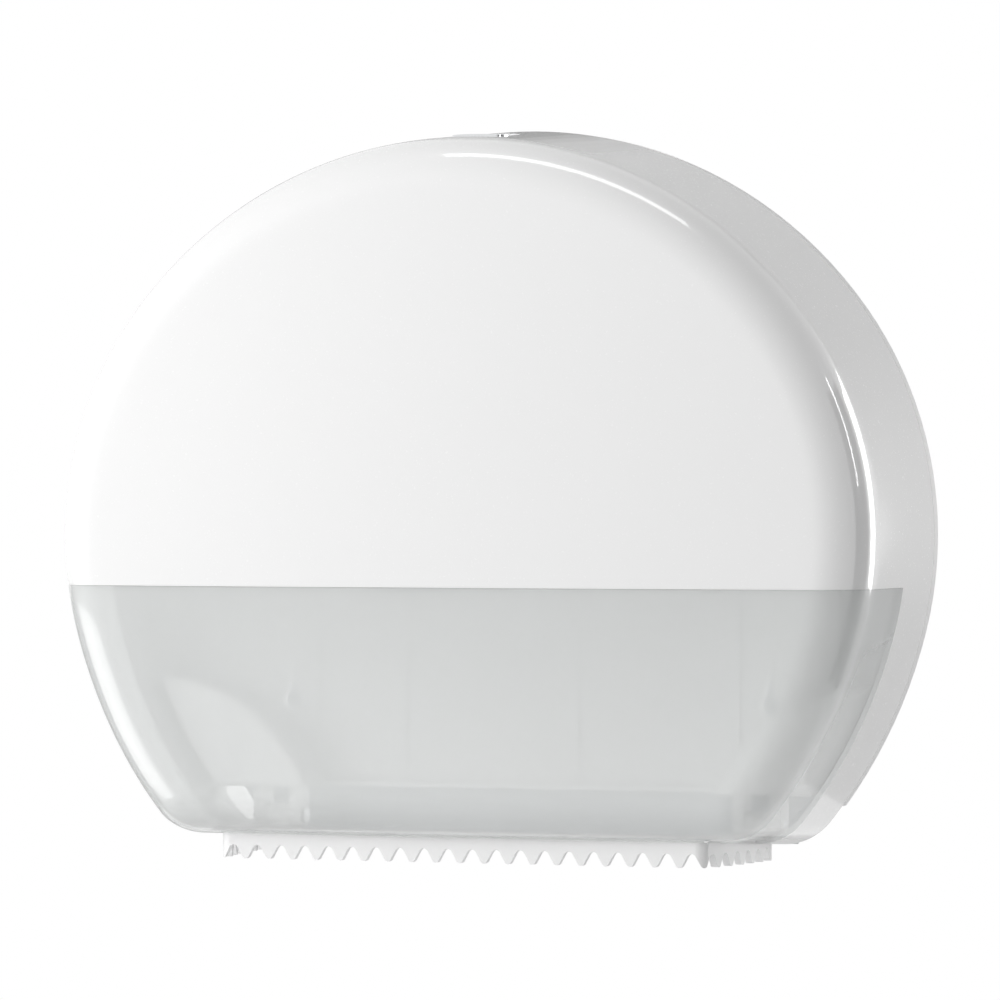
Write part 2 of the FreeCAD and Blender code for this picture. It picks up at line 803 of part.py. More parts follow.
def make_hinge_pin(name, sign):
    """A headed pin, its head on the inner side of the hinge."""
    reach = "knuckle_width / 2 + ear_gap + ear_wall"
    inner = "hinge_side - (%s) - seat_gap" % reach
    outer = "hinge_side + %s" % reach
    if sign:
        shank_low = "-(%s)" % outer
        head_low = "-(%s)" % inner
    else:
        shank_low = inner
        head_low = "%s - pin_head" % inner
    axis = ("-hinge_depth", "-hinge_below")
    shank = rod(name + "_shank", "pin_radius", "(%s) - (%s)" % (outer, inner), (shank_low,) + axis, ALONG_X)
    head = rod(name + "_head", "pin_head_radius", "pin_head", (head_low,) + axis, ALONG_X)
    return fuse(name, [shank, head])


def make_screws(name):
    """One kind of screw as a group of separate solids, each with a flat head."""
    screws = []
    for index, (owner, seat, across, up) in enumerate(screw_places()):
        if owner != name:
            continue
        head = rod(
            "%s_head_%d" % (name, index),
            "screw_head_radius",
            "screw_head",
            (across, "-(%s) - seat_gap" % seat, up),
            TOWARDS_FRONT,
        )
        shank = rod(
            "%s_shank_%d" % (name, index),
            "screw_radius",
            "(%s) - flange_depth + screw_length + seat_gap" % seat,
            (across, "screw_length - flange_depth", up),
            TOWARDS_FRONT,
        )
        screws.append(fuse("%s_%d" % (name, index), [head, shank]))
    return group(name, screws)


# The spindle of the big roll, whose parts sit one before the other from the back plate to the front

SPINDLE_AT = ("-spindle_side", "0", "spindle_high")
SPRING_REAR = "flange_depth + spindle_flange + seat_gap"
BRAKE_REAR = SPRING_REAR + " + spring_height + seat_gap"
HUB_REAR = BRAKE_REAR + " + brake_wall + face_gap"
HUB_FRONT = HUB_REAR + " + hub_length"
WEB_FRONT = HUB_FRONT + " - hub_recess"
SPINDLE_FRONT = WEB_FRONT + " + face_gap"
WASHER_FRONT = SPINDLE_FRONT + " + seat_gap + washer_wall"


def make_spindle_post():
    bore = "hub_screw_radius + seat_gap"
    blind = SPINDLE_FRONT + " - hub_screw_length - overrun"
    post = turned(
        "spindle_post",
        (
            ("0", "flange_depth"),
            ("spindle_flange_radius", "flange_depth"),
            ("spindle_flange_radius", "flange_depth + spindle_flange"),
            ("spindle_radius", "flange_depth + spindle_flange"),
            ("spindle_radius", SPINDLE_FRONT),
            (bore, SPINDLE_FRONT),
            (bore, blind),
            ("0", blind),
        ),
        SPINDLE_AT,
        TOWARDS_FRONT,
    )
    hole_circle(post, "spindle_holes", "screw_radius + seat_gap", "spindle_screw_circle", SPINDLE_SCREWS)
    return post


def make_brake_spring():
    """A disc spring: a shallow cone of spring steel round the post."""
    inner = "spindle_radius + run_gap * 2"
    return turned(
        "brake_spring",
        (
            ("spring_radius", SPRING_REAR),
            ("spring_radius", SPRING_REAR + " + spring_wall"),
            (inner, SPRING_REAR + " + spring_height"),
            (inner, SPRING_REAR + " + spring_height - spring_wall"),
        ),
        SPINDLE_AT,
        TOWARDS_FRONT,
    )


def ring(name, inner, outer, rear, front, at=SPINDLE_AT):
    return turned(name, ((inner, rear), (outer, rear), (outer, front), (inner, front)), at, TOWARDS_FRONT)


def make_roll_hub():
    """The hub that carries the core: a tapered tube with a disc behind the roll, a sleeve and fins."""
    bore = "spindle_radius + run_gap"
    sleeve = bore + " + hub_sleeve"
    hub = turned(
        "roll_hub",
        (
            (bore, HUB_REAR),
            (sleeve, HUB_REAR),
            (sleeve, WEB_FRONT + " - hub_web"),
            ("hub_front_radius - hub_wall", WEB_FRONT + " - hub_web"),
            ("hub_radius - hub_wall", HUB_REAR),
            ("hub_flange_radius", HUB_REAR),
            ("hub_flange_radius", HUB_REAR + " + hub_flange"),
            ("hub_radius", HUB_REAR + " + hub_flange"),
            ("hub_front_radius", HUB_FRONT),
            ("hub_front_radius - hub_wall", HUB_FRONT),
            ("hub_front_radius - hub_wall", WEB_FRONT),
            (bore, WEB_FRONT),
        ),
        SPINDLE_AT,
        TOWARDS_FRONT,
    )
    inside = "hub_front_radius - hub_wall / 2"
    sketch = polygon(
        hub,
        "XY_Plane",
        "fin_section",
        (
            (inside, "-hub_fin_wall / 2"),
            ("hub_fin_radius", "-hub_fin_wall / 2"),
            ("hub_fin_radius", "hub_fin_wall / 2"),
            (inside, "hub_fin_wall / 2"),
        ),
    )
    bind(sketch, "AttachmentOffset.Base.z", HUB_REAR + " + hub_flange / 2")
    fin = hub.newObject("PartDesign::Pad", "fin")
    fin.Profile = sketch
    bind(fin, "Length", "hub_length - hub_flange / 2 - hub_fin_short")
    doc.recompute()
    fins = hub.newObject("PartDesign::PolarPattern", "fins")
    fins.Originals = [fin]
    fins.Axis = (sketch, ["N_Axis"])
    fins.Angle = 360
    fins.Occurrences = HUB_FINS
    hub.Tip = fins
    doc.recompute()
    return hub


def make_hub_cap():
    """The cap that closes the front of the hub, with a spigot inside the tube."""
    spigot = "hub_front_radius - hub_wall - seat_gap"
    rear = HUB_FRONT + " + seat_gap"
    return turned(
        "hub_cap",
        (
            ("0", rear),
            (spigot + " - hub_wall", rear),
            (spigot + " - hub_wall", HUB_FRONT + " - cap_spigot"),
            (spigot, HUB_FRONT + " - cap_spigot"),
            (spigot, rear),
            ("hub_front_radius", rear),
            ("hub_front_radius", rear + " + cap_edge"),
            ("hub_front_radius - cap_wall", rear + " + cap_wall"),
            ("0", rear + " + cap_wall"),
        ),
        SPINDLE_AT,
        TOWARDS_FRONT,
    )


def make_hub_screw():
    return turned(
        "hub_screw",
        (
            ("0", WASHER_FRONT + " + seat_gap - hub_screw_length"),
            ("hub_screw_radius", WASHER_FRONT + " + seat_gap - hub_screw_length"),
            ("hub_screw_radius", WASHER_FRONT + " + seat_gap"),
            ("hub_screw_head_radius", WASHER_FRONT + " + seat_gap"),
            ("hub_screw_head_radius", WASHER_FRONT + " + seat_gap + hub_screw_head"),
            ("0", WASHER_FRONT + " + seat_gap + hub_screw_head"),
        ),
        SPINDLE_AT,
        TOWARDS_FRONT,
    )


# The spindle of the stub roll

STUB_AT = ("stub_side", "0", "stub_high")
SLEEVE_REAR = "flange_depth + stub_flange + stub_shoulder + face_gap"
SLEEVE_FRONT = SLEEVE_REAR + " + sleeve_length"
GROOVE_REAR = SLEEVE_FRONT + " + face_gap"
GROOVE_FRONT = GROOVE_REAR + " + stub_groove"


def make_stub_post():
    shoulder = "flange_depth + stub_flange + stub_shoulder"
    post = turned(
        "stub_post",
        (
            ("0", "flange_depth"),
            ("stub_flange_radius", "flange_depth"),
            ("stub_flange_radius", "flange_depth + stub_flange"),
            ("stub_radius + stub_shoulder", "flange_depth + stub_flange"),
            ("stub_radius + stub_shoulder", shoulder),
            ("stub_radius", shoulder),
            ("stub_radius", GROOVE_REAR),
            ("stub_radius - stub_groove_depth", GROOVE_REAR),
            ("stub_radius - stub_groove_depth", GROOVE_FRONT),
            ("stub_radius", GROOVE_FRONT),
            ("stub_radius", GROOVE_FRONT + " + stub_end"),
            ("0", GROOVE_FRONT + " + stub_end"),
        ),
        STUB_AT,
        TOWARDS_FRONT,
    )
    hole_circle(post, "stub_holes", "screw_radius + seat_gap", "stub_screw_circle", STUB_SCREWS)
    return post


def make_stub_sleeve():
    bore = "stub_radius + run_gap"
    return turned(
        "stub_sleeve",
        (
            (bore, SLEEVE_REAR),
            (bore + " + sleeve_wall", SLEEVE_REAR),
            (bore + " + sleeve_wall", SLEEVE_FRONT + " - hub_web"),
            ("sleeve_front_radius - sleeve_wall", SLEEVE_FRONT + " - hub_web"),
            ("sleeve_radius - sleeve_wall", SLEEVE_REAR),
            ("sleeve_flange_radius", SLEEVE_REAR),
            ("sleeve_flange_radius", SLEEVE_REAR + " + sleeve_flange"),
            ("sleeve_radius", SLEEVE_REAR + " + sleeve_flange"),
            ("sleeve_front_radius", SLEEVE_FRONT),
            (bore, SLEEVE_FRONT),
        ),
        STUB_AT,
        TOWARDS_FRONT,
    )


# The catch on the back plate


def make_catch_bracket():
    """A bent steel bracket: a foot on the plate, an arm over the roll and a tab for the cam."""
    foot = box(
        "catch_foot_plate",
        (
            ("-catch_half_width", "catch_half_width"),
            ("-flange_depth - catch_wall", "-flange_depth"),
            ("catch_foot", "catch_arm_high + catch_wall"),
        ),
    )
    arm = box(
        "catch_arm",
        (
            ("-catch_arm_half_width", "catch_arm_half_width"),
            ("-catch_reach", "-flange_depth"),
            ("catch_arm_high", "catch_arm_high + catch_wall"),
        ),
    )
    tab = box(
        "catch_tab",
        (
            ("-catch_tab_half_width", "catch_tab_half_width"),
            ("-catch_reach", "catch_wall - catch_reach"),
            ("catch_arm_high", "catch_tab_top"),
        ),
    )
    holes = [
        rod(
            "catch_hole_" + side_name,
            "screw_radius + seat_gap",
            "catch_wall + overrun * 2",
            ("%scatch_screw_side" % sign, "overrun - flange_depth", "catch_screw_high"),
            TOWARDS_FRONT,
        )
        for side_name, sign in (("left", "-"), ("right", ""))
    ]
    return cut("catch_bracket", fuse("catch_whole", [foot, arm, tab]), holes)


# The cover, its window and the tear bar


def bar_region(name, grow, foot, top, rear="-bar_rear"):
    """The space inside the tear bar's curved plan, grown outwards by grow, between two heights."""
    sides = []
    for side_name, sign in (("left", ""), ("right", "-")):
        centre = "%s(bar_side_radius - bar_half_width)" % sign
        sides.append(
            rod(
                "%s_%s" % (name, side_name),
                "bar_side_radius + (%s)" % grow,
                "(%s) - (%s)" % (top, foot),
                (centre, "-bar_rear", foot),
            )
        )
    reach = "bar_side_radius * 2"
    ends = box(name + "_ends", (("-" + reach, reach), ("-bar_front - (%s)" % grow, rear), (foot, top)))
    return common(name, sides + [ends])


def round_front(name, region):
    """Rounds the two upright front edges of a region with the tear bar's plan."""
    doc.recompute()
    front = min(edge.BoundBox.YMin for edge in region.Shape.Edges)
    upright = []
    for index, edge in enumerate(region.Shape.Edges, start=1):
        span = edge.BoundBox
        if span.XLength < size("seat_gap") and span.YMax < front + size("seat_gap"):
            upright.append((index, size("bar_corner"), size("bar_corner")))
    rounded = doc.addObject("Part::Fillet", name)
    rounded.Base = region
    rounded.Edges = upright
    return rounded


def tooth_gap(body, role, name, pitch, middle, offset, deep):
    """Cuts the gap between two teeth: a round root, straight flanks and a round tip on each side."""
    sketch = sketch_on(body, role, name + "_profile")
    bind(sketch, "AttachmentOffset.Base.z", offset)
    tip = size("tooth_tip_radius")
    root = size("tooth_root_radius")
    half = size(pitch) / 2
    foot = -size("bar_tip")
    below = foot - size("overrun")
    root_high = foot + size("tooth_height") - root
    tip_high = foot + tip
    rise = root_high - tip_high
    lean = math.pi / 2 - math.atan2(rise, half) - math.asin((root + tip) / math.hypot(half, rise))
    axis = FreeCAD.Vector(0, 0, 1)

    def point(across, up, radius=0.0, angle=0.0):
        return FreeCAD.Vector(across + radius * math.cos(angle), up + radius * math.sin(angle), 0)

    def arc(across, up, radius, start, stop):
        return Part.ArcOfCircle(Part.Circle(point(across, up), axis, radius), start, stop)

    sketch.addGeometry(arc(0, root_high, root, lean, math.pi - lean))
    right_touch = point(half, tip_high, tip, math.pi + lean)
    left_touch = point(-half, tip_high, tip, -lean)
    sketch.addGeometry(Part.LineSegment(point(0, root_high, root, lean), right_touch))
    sketch.addGeometry(arc(half, tip_high, tip, math.pi + lean, 1.5 * math.pi))
    sketch.addGeometry(Part.LineSegment(point(half, foot), point(half, below)))
    sketch.addGeometry(Part.LineSegment(point(half, below), point(-half, below)))
    sketch.addGeometry(Part.LineSegment(point(-half, below), point(-half, foot)))
    sketch.addGeometry(arc(-half, tip_high, tip, 1.5 * math.pi, 2 * math.pi - lean))
    sketch.addGeometry(Part.LineSegment(left_touch, point(0, root_high, root, math.pi - lean)))
    for kind, *ends in (
        ("Tangent", 0, 1, 1, 1),
        ("Tangent", 1, 2, 2, 1),
        ("Coincident", 2, 2, 3, 1),
        ("Coincident", 3, 2, 4, 1),
        ("Coincident", 4, 2, 5, 1),
        ("Coincident", 5, 2, 6, 1),
        ("Tangent", 6, 2, 7, 1),
        ("Tangent", 7, 2, 0, 2),
        ("Vertical", 3),
        ("Vertical", 5),
        ("Horizontal", 4),
        ("Vertical", 2, 3, 2, 2),
        ("Vertical", 6, 3, 6, 1),
    ):
        sketch.addConstraint(Sketcher.Constraint(kind, *ends))
    for edge, radius in ((0, "tooth_root_radius"), (2, "tooth_tip_radius"), (6, "tooth_tip_radius")):
        hold(sketch, Sketcher.Constraint("Radius", edge, size(radius)), radius)
    pin_point(sketch, 0, 3, middle, "tooth_height - tooth_root_radius - bar_tip")
    pin_point(sketch, 2, 3, "%s + %s / 2" % (middle, pitch), "tooth_tip_radius - bar_tip")
    pin_point(sketch, 6, 3, "%s - %s / 2" % (middle, pitch), "tooth_tip_radius - bar_tip")
    hold(sketch, Sketcher.Constraint("DistanceY", -1, 1, 3, 2, below), "-bar_tip - overrun")
    gap = body.newObject("PartDesign::Pocket", name)
    gap.Profile = sketch
    bind(gap, "Length", deep)
    return gap


def repeat(body, name, gap, pitch, count):
    """Repeats a tooth gap along the level axis of its sketch."""
    row = body.newObject("PartDesign::LinearPattern", name)
    row.Originals = [gap]
    row.Direction = (gap.Profile[0], ["H_Axis"])
    bind(row, "Length", "%s * %d" % (pitch, count - 1))
    row.Occurrences = count
    body.Tip = row
    doc.recompute()


def make_tear_bar(seat):
    """A blade bent round three sides of the outlet, with a flange inside the cover and rounded teeth."""
    outside = round_front("blade_rounded", bar_region("blade_outer", "0", "-bar_tip", "-bar_top"))
    open_rear = "overrun - bar_rear"
    inside = bar_region("blade_inner", "-bar_wall", "-bar_tip - overrun", "-bar_top + overrun", open_rear)
    blade = cut("blade", outside, [inside])
    ring_outer = bar_region("flange_outer", "bar_flange", "-outline_bottom", "-bar_top")
    ring_inner = bar_region(
        "flange_inner", "-bar_wall / 2", "-outline_bottom - overrun", "-bar_top + overrun", open_rear
    )
    flange = common("flange_seated", [cut("flange_ring", ring_outer, [ring_inner]), seat])
    plain = fuse("bar_plain", [blade, flange])
    doc.recompute()

    body = doc.addObject("PartDesign::Body", "tear_bar")
    body.BaseFeature = plain
    doc.recompute()
    first = "-tooth_pitch * %g" % ((FRONT_GAPS - 1) / 2)
    deep = "bar_wall + overrun * 2"
    gap = tooth_gap(body, "XZ_Plane", "front_gap", "tooth_pitch", first, "bar_front + overrun", deep)
    repeat(body, "front_gaps", gap, "tooth_pitch", FRONT_GAPS)
    first = "side_tooth_pitch / 2 - bar_front + bar_wall / 2"
    deep = "bar_wall * 4 + overrun"
    side = "bar_half_width + overrun"
    right = tooth_gap(body, "YZ_Plane", "right_gap", "side_tooth_pitch", first, side, deep)
    repeat(body, "right_gaps", right, "side_tooth_pitch", SIDE_GAPS)
    left = tooth_gap(body, "YZ_Plane", "left_gap", "side_tooth_pitch", first, "-(%s)" % side, deep)
    left.Reversed = True
    repeat(body, "left_gaps", left, "side_tooth_pitch", SIDE_GAPS)
    return body


def stadium(name, radius, foot, top):
    """An upright rounded bar round the lock's axis, long from front to rear."""
    half = "lock_plate_straight / 2"
    high = "(%s) - (%s)" % (top, foot)
    ends = [
        rod("%s_%s" % (name, end), radius, high, ("0", "%s - lock_depth" % at, foot))
        for end, at in (("front", "-" + half), ("rear", half))
    ]
    middle = box(
        name + "_middle",
        (
            ("-(%s)" % radius, radius),
            ("-lock_depth - " + half, "-lock_depth + " + half),
            (foot, top),
        ),
    )
    return fuse(name, ends + [middle])


LOCK_AT = ("0", "-lock_depth")
SEAT_HIGH = "lock_top - lock_plate_wall"
CUP_HIGH = SEAT_HIGH + " - lock_cup_wall"
CAM_TOP = "lock_body_bottom - barrel_foot - seat_gap"
CAM_FOOT = CAM_TOP + " - cam_wall"


def window_span(name, gap, rear=None, top=None, foot="-outline_bottom - overrun"):
    """The part of the space that the window takes: below its top edge and in front of its rear edge."""
    rear = rear or "-window_rear - (%s)" % gap
    top = top or "-window_top - (%s)" % gap
    return box(name, (LEFT_TO_RIGHT, ("-total_depth - overrun", rear), (foot, top)))


def knuckle(name, sign):
    """A hinge knuckle that stands on the cover's bottom wall."""
    low = "%shinge_side - knuckle_width / 2" % sign
    high = "%shinge_side + knuckle_width / 2" % sign
    depth = ("-hinge_depth - hinge_radius", "-hinge_depth + hinge_radius")
    web = box(name + "_web", ((low, high), depth, ("-outline_bottom + cover_wall / 2", "-hinge_below")))
    eye = rod(name + "_eye", "hinge_radius", "knuckle_width", (low, "-hinge_depth", "-hinge_below"), ALONG_X)
    return [web, eye]


def make_cover_shell(outer, shell, outlet):
    """The white shell: the skin without the window's part, with the lock's cup and the hinge knuckles."""
    cup = stadium(
        "lock_cup", "lock_plate_radius + lock_plate_gap + lock_cup_wall", CUP_HIGH, "outline_top + overrun"
    )
    cup_inside = common("lock_cup_seated", [cup, outer])
    removed = [
        window_span("window_opening", "0"),
        outlet,
        stadium("lock_recess", "lock_plate_radius + lock_plate_gap", SEAT_HIGH, "outline_top + overrun"),
        rod("lock_hole", "lock_body_radius + seat_gap", "outline_top", LOCK_AT + ("0",)),
    ]
    knuckles = knuckle("knuckle_left", "-") + knuckle("knuckle_right", "")
    for side_name, sign in (("left", "-"), ("right", "")):
        removed.append(
            rod(
                "knuckle_bore_" + side_name,
                "pin_radius + run_gap",
                "knuckle_width + overrun * 2",
                ("%shinge_side - knuckle_width / 2 - overrun" % sign, "-hinge_depth", "-hinge_below"),
                ALONG_X,
            )
        )
    whole = fuse("cover_whole", [shell, cup_inside] + knuckles)
    return cut("cover_shell", whole, removed)


def make_window_panel(inner, shell, outlet):
    """The window: its part of the skin, with a lip along its edges that seats inside the shell."""
    lip_outer = cover_form("lip_outer", "cover_wall + seat_gap")
    lip_inner = cover_form("lip_inner", "cover_wall + seat_gap + lip_wall")
    lip_span = window_span(
        "lip_span", "0", "lip_reach - window_rear", "lip_reach - window_top", "-plate_bottom"
    )
    lip_clear = window_span("lip_clear", "lip_reach", foot="-plate_bottom - overrun")
    lip = cut("window_lip", common("lip_ring", [lip_outer, lip_span]), [lip_inner, lip_clear])
    weld_span = window_span("weld_span", "window_gap", foot="-plate_bottom")
    weld = cut("lip_weld", common("weld_ring", [inner, weld_span]), [lip_inner, lip_clear])
    pane = common("window_pane", [shell, window_span("window_inside", "window_gap")])
    return cut("window_panel", fuse("window_whole", [pane, lip, weld]), [outlet])


def make_cover():
    """The three pieces that share the cover's skin: the shell, the window and the tear bar."""
    outer = cover_form("cover_outer", "0")
    inner = cover_form("cover_inner", "cover_wall")
    shell = cut("cover_skin", outer, [inner])
    space = bar_region("outlet", "bar_gap", "-outline_bottom - overrun", "-bar_top")
    outlet = round_front("outlet_rounded", space)
    seat = cover_form("bar_seat", "cover_wall + seat_gap + seat_gap")
    return [
        make_cover_shell(outer, shell, outlet),
        make_window_panel(inner, shell, outlet),
        make_tear_bar(seat),
    ]


# The lock


def make_lock_housing():
    """The lock's face plate and round body, bored for the key barrel."""
    plate = stadium("lock_plate", "lock_plate_radius", SEAT_HIGH + " + seat_gap", "lock_top")
    long = SEAT_HIGH + " + seat_gap * 2 - lock_body_bottom"
    body = rod("lock_body", "lock_body_radius", long, LOCK_AT + ("lock_body_bottom",))
    seat = LOCK_AT + ("lock_top - barrel_sunk - barrel_head - seat_gap",)
    wide = rod("lock_counterbore", "barrel_head_radius + run_gap", "outline_top", seat)
    narrow = rod("lock_bore", "barrel_radius + run_gap", "outline_top", LOCK_AT + ("0",))
    return cut("lock_housing", fuse("lock_housing_whole", [plate, body]), [wide, narrow])


def make_lock_nut():
    """A hexagonal nut under the cup, whose corners lie on a circle."""
    top = CUP_HIGH + " - seat_gap"
    body = doc.addObject("Part::Prism", "lock_nut_hexagon")
    body.Polygon = 6
    bind(body, "Circumradius", "lock_nut_radius")
    bind(body, "Height", "lock_nut_height")
    put(body, LOCK_AT + (top + " - lock_nut_height",))
    hole = rod("lock_nut_hole", "lock_body_radius + seat_gap", "outline_top", LOCK_AT + ("0",))
    return cut("lock_nut", body, [hole])


def make_key_barrel():
    """The barrel that the key turns, with a key slot in its face and a square foot for the cam."""
    top = "lock_top - barrel_sunk"
    shoulder = top + " - barrel_head"
    shaft_foot = "lock_body_bottom - barrel_foot"
    head = rod("barrel_head_disc", "barrel_head_radius", "barrel_head", LOCK_AT + (shoulder,))
    shaft = rod("barrel_shaft", "barrel_radius", shoulder + " - (%s)" % shaft_foot, LOCK_AT + (shaft_foot,))
    square = box(
        "barrel_square_foot",
        (
            ("-barrel_square / 2", "barrel_square / 2"),
            ("-lock_depth - barrel_square / 2", "-lock_depth + barrel_square / 2"),
            (CAM_FOOT + " + seat_gap", shaft_foot),
        ),
    )
    slot = box(
        "key_slot_cut",
        (
            ("-key_slot_length / 2", "key_slot_length / 2"),
            ("-lock_depth - key_slot / 2", "-lock_depth + key_slot / 2"),
            (top + " - key_slot_depth", top + " + overrun"),
        ),
    )
    eye = rod("key_eye", "key_eye_radius", "key_slot_depth + overrun", LOCK_AT + (top + " - key_slot_depth",))
    bore = rod(
        "barrel_screw_bore",
        "screw_radius + seat_gap",
        "cam_screw_length + overrun * 2",
        LOCK_AT + (CAM_FOOT + " - overrun",),
    )
    return cut("key_barrel", fuse("barrel_whole", [head, shaft, square]), [slot, eye, bore])


def make_lock_cam():
    """A plate with a curved finger that swings in behind the catch."""
    at = LOCK_AT + (CAM_FOOT,)
    hub = rod("cam_hub", "cam_hub_radius", "cam_wall", at)
    long = "(cam_finger_inner + cam_finger_outer) / 2"
    arm = box("cam_arm", (("0", long), ("0", "cam_arm_width"), ("0", "cam_wall")))
    arm.Placement.Rotation = FreeCAD.Rotation(FreeCAD.Vector(0, 0, 1), size("cam_arm_angle"))
    bind(arm, "Placement.Rotation.Angle", "cam_arm_angle")
    bind(arm, "Placement.Base.x", "cam_arm_width / 2 * sin(cam_arm_angle)")
    bind(arm, "Placement.Base.y", "-lock_depth - cam_arm_width / 2 * cos(cam_arm_angle)")
    bind(arm, "Placement.Base.z", CAM_FOOT)
    finger_outer = rod("cam_finger_disc", "cam_finger_outer", "cam_wall", at)
    finger_outer.Placement.Rotation = FreeCAD.Rotation(FreeCAD.Vector(0, 0, 1), size("cam_finger_start"))
    bind(finger_outer, "Placement.Rotation.Angle", "cam_finger_start")
    bind(finger_outer, "Angle", "cam_finger_sweep")
    below = LOCK_AT + (CAM_FOOT + " - overrun",)
    finger_inner = rod("cam_finger_hollow", "cam_finger_inner", "cam_wall + overrun * 2", below)
    finger = cut("cam_finger", finger_outer, [finger_inner])
    square = box(
        "cam_square_hole",
        (
            ("-barrel_square / 2 - seat_gap", "barrel_square / 2 + seat_gap"),
            ("-lock_depth - barrel_square / 2 - seat_gap", "-lock_depth + barrel_square / 2 + seat_gap"),
            (CAM_FOOT + " - overrun", CAM_TOP + " + overrun"),
        ),
    )
    return cut("lock_cam", fuse("cam_whole", [hub, arm, finger]), [square])


def make_cam_screw():
    seat = CAM_FOOT + " - seat_gap"
    head = rod("cam_screw_disc", "cam_screw_head_radius", "screw_head", LOCK_AT + (seat + " - screw_head",))
    shank = rod("cam_screw_shank", "screw_radius", "cam_screw_length", LOCK_AT + (seat,))
    return fuse("cam_screw", [head, shank])


# The finished pieces: each one is written to its own file

washer_bore = "hub_screw_radius + run_gap"
pieces = [
    make_back_plate(),
    make_hinge_pin("hinge_pin_left", "-"),
    make_hinge_pin("hinge_pin_right", ""),
    make_spindle_post(),
    make_screws("spindle_screws"),
    make_brake_spring(),
    ring("brake_ring", "spindle_radius + run_gap", "brake_radius", BRAKE_REAR, BRAKE_REAR + " + brake_wall"),
    make_roll_hub(),
    ring("hub_washer", washer_bore, "washer_radius", SPINDLE_FRONT + " + seat_gap", WASHER_FRONT),
    make_hub_screw(),
    make_hub_cap(),
    make_stub_post(),
    make_screws("stub_screws"),
    make_stub_sleeve(),
    ring(
        "stub_clip",
        "stub_radius - stub_groove_depth + seat_gap",
        "clip_radius",
        GROOVE_REAR + " + seat_gap",
        GROOVE_FRONT + " - seat_gap",
        STUB_AT,
    ),
    make_catch_bracket(),
    make_screws("catch_screws"),
    *make_cover(),
    make_lock_housing(),
    make_lock_nut(),
    make_key_barrel(),
    make_lock_cam(),
    make_cam_screw(),
]
doc.recompute()

for item in doc.Objects:
    if item.State and item.State != ["Up-to-date"]:
        raise ValueError("%s: %s" % (item.Name, item.State))
    shape = getattr(item, "Shape", None)
    if shape is None or item.isDerivedFrom("App::DatumElement"):
        continue
    if shape.isNull() or not shape.isValid():
        raise ValueError("%s has no sound shape" % item.Name)

os.makedirs("parts", exist_ok=True)
for piece in pieces:
    piece.Label = piece.Name
    piece.Shape.exportStep("parts/%s.step" % piece.Label)
    print(piece.Label, len(piece.Shape.Solids), round(piece.Shape.Volume))
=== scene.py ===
"""The jumbo toilet roll dispenser of the photograph.

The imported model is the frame. A smooth domed cover, materials, light and the camera go round it.
"""

import json
import math

import bmesh
import bpy
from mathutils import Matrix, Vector


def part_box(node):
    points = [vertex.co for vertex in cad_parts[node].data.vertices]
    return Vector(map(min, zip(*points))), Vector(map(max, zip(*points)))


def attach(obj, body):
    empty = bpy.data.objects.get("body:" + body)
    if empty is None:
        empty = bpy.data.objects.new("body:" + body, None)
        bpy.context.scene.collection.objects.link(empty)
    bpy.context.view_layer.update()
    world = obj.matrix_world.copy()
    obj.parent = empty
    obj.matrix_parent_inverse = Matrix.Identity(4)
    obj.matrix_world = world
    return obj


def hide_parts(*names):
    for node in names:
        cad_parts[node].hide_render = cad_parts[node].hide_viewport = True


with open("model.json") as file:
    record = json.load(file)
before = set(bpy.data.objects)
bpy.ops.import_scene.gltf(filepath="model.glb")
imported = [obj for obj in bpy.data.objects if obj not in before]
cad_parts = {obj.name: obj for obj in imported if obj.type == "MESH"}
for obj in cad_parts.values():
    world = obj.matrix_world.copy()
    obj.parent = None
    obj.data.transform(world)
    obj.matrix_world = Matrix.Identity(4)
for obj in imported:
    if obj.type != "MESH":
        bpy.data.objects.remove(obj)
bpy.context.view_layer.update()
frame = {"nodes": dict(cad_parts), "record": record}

MM = 0.001

# The cover's outline, in metres: arcs from the top round to the flat bottom, as in the frame
SHELL_LOW, SHELL_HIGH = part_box("cover_shell")
OUTLINE_TOP = SHELL_HIGH.z
OUTLINE_BOTTOM = SHELL_LOW.z
DEPTH_REAR = -SHELL_HIGH.y
DEPTH_FRONT = -SHELL_LOW.y
TOP_RADIUS = 224 * MM
SIDE_RADIUS = 195 * MM
SIDE_CENTRE = 23.5 * MM
LOWER_RADIUS = 255 * MM
LOWER_CENTRE = 34.6 * MM
CORNER_RADIUS = 32 * MM

# The cover's walls: how far each leans inwards on its way forward, and its rounded front edge
LEAN_SIDE = 0.024
LEAN_TOP = 0.078
LEAN_BOTTOM = 0.058
ROUNDING = 27 * MM
BOTTOM_ROUNDING = 24 * MM
BOTTOM_FROM = 0.3
BOTTOM_SPAN = 0.32
DOME_DROP_RADIUS = 2250 * MM
DOME_HEIGHT = 15 * MM
WALL = 2.5 * MM
SEAM = 0.15 * MM

WINDOW_TOP = -15.5 * MM
WINDOW_REAR = 51 * MM

# The paper outlet in the bottom: wider at the rear than at the front
OUTLET_REAR = 27.7 * MM
OUTLET_FRONT = 104.3 * MM
OUTLET_HALF_FRONT = 129.3 * MM
OUTLET_HALF_REAR = 139.8 * MM
OUTLET_REACH = 12 * MM

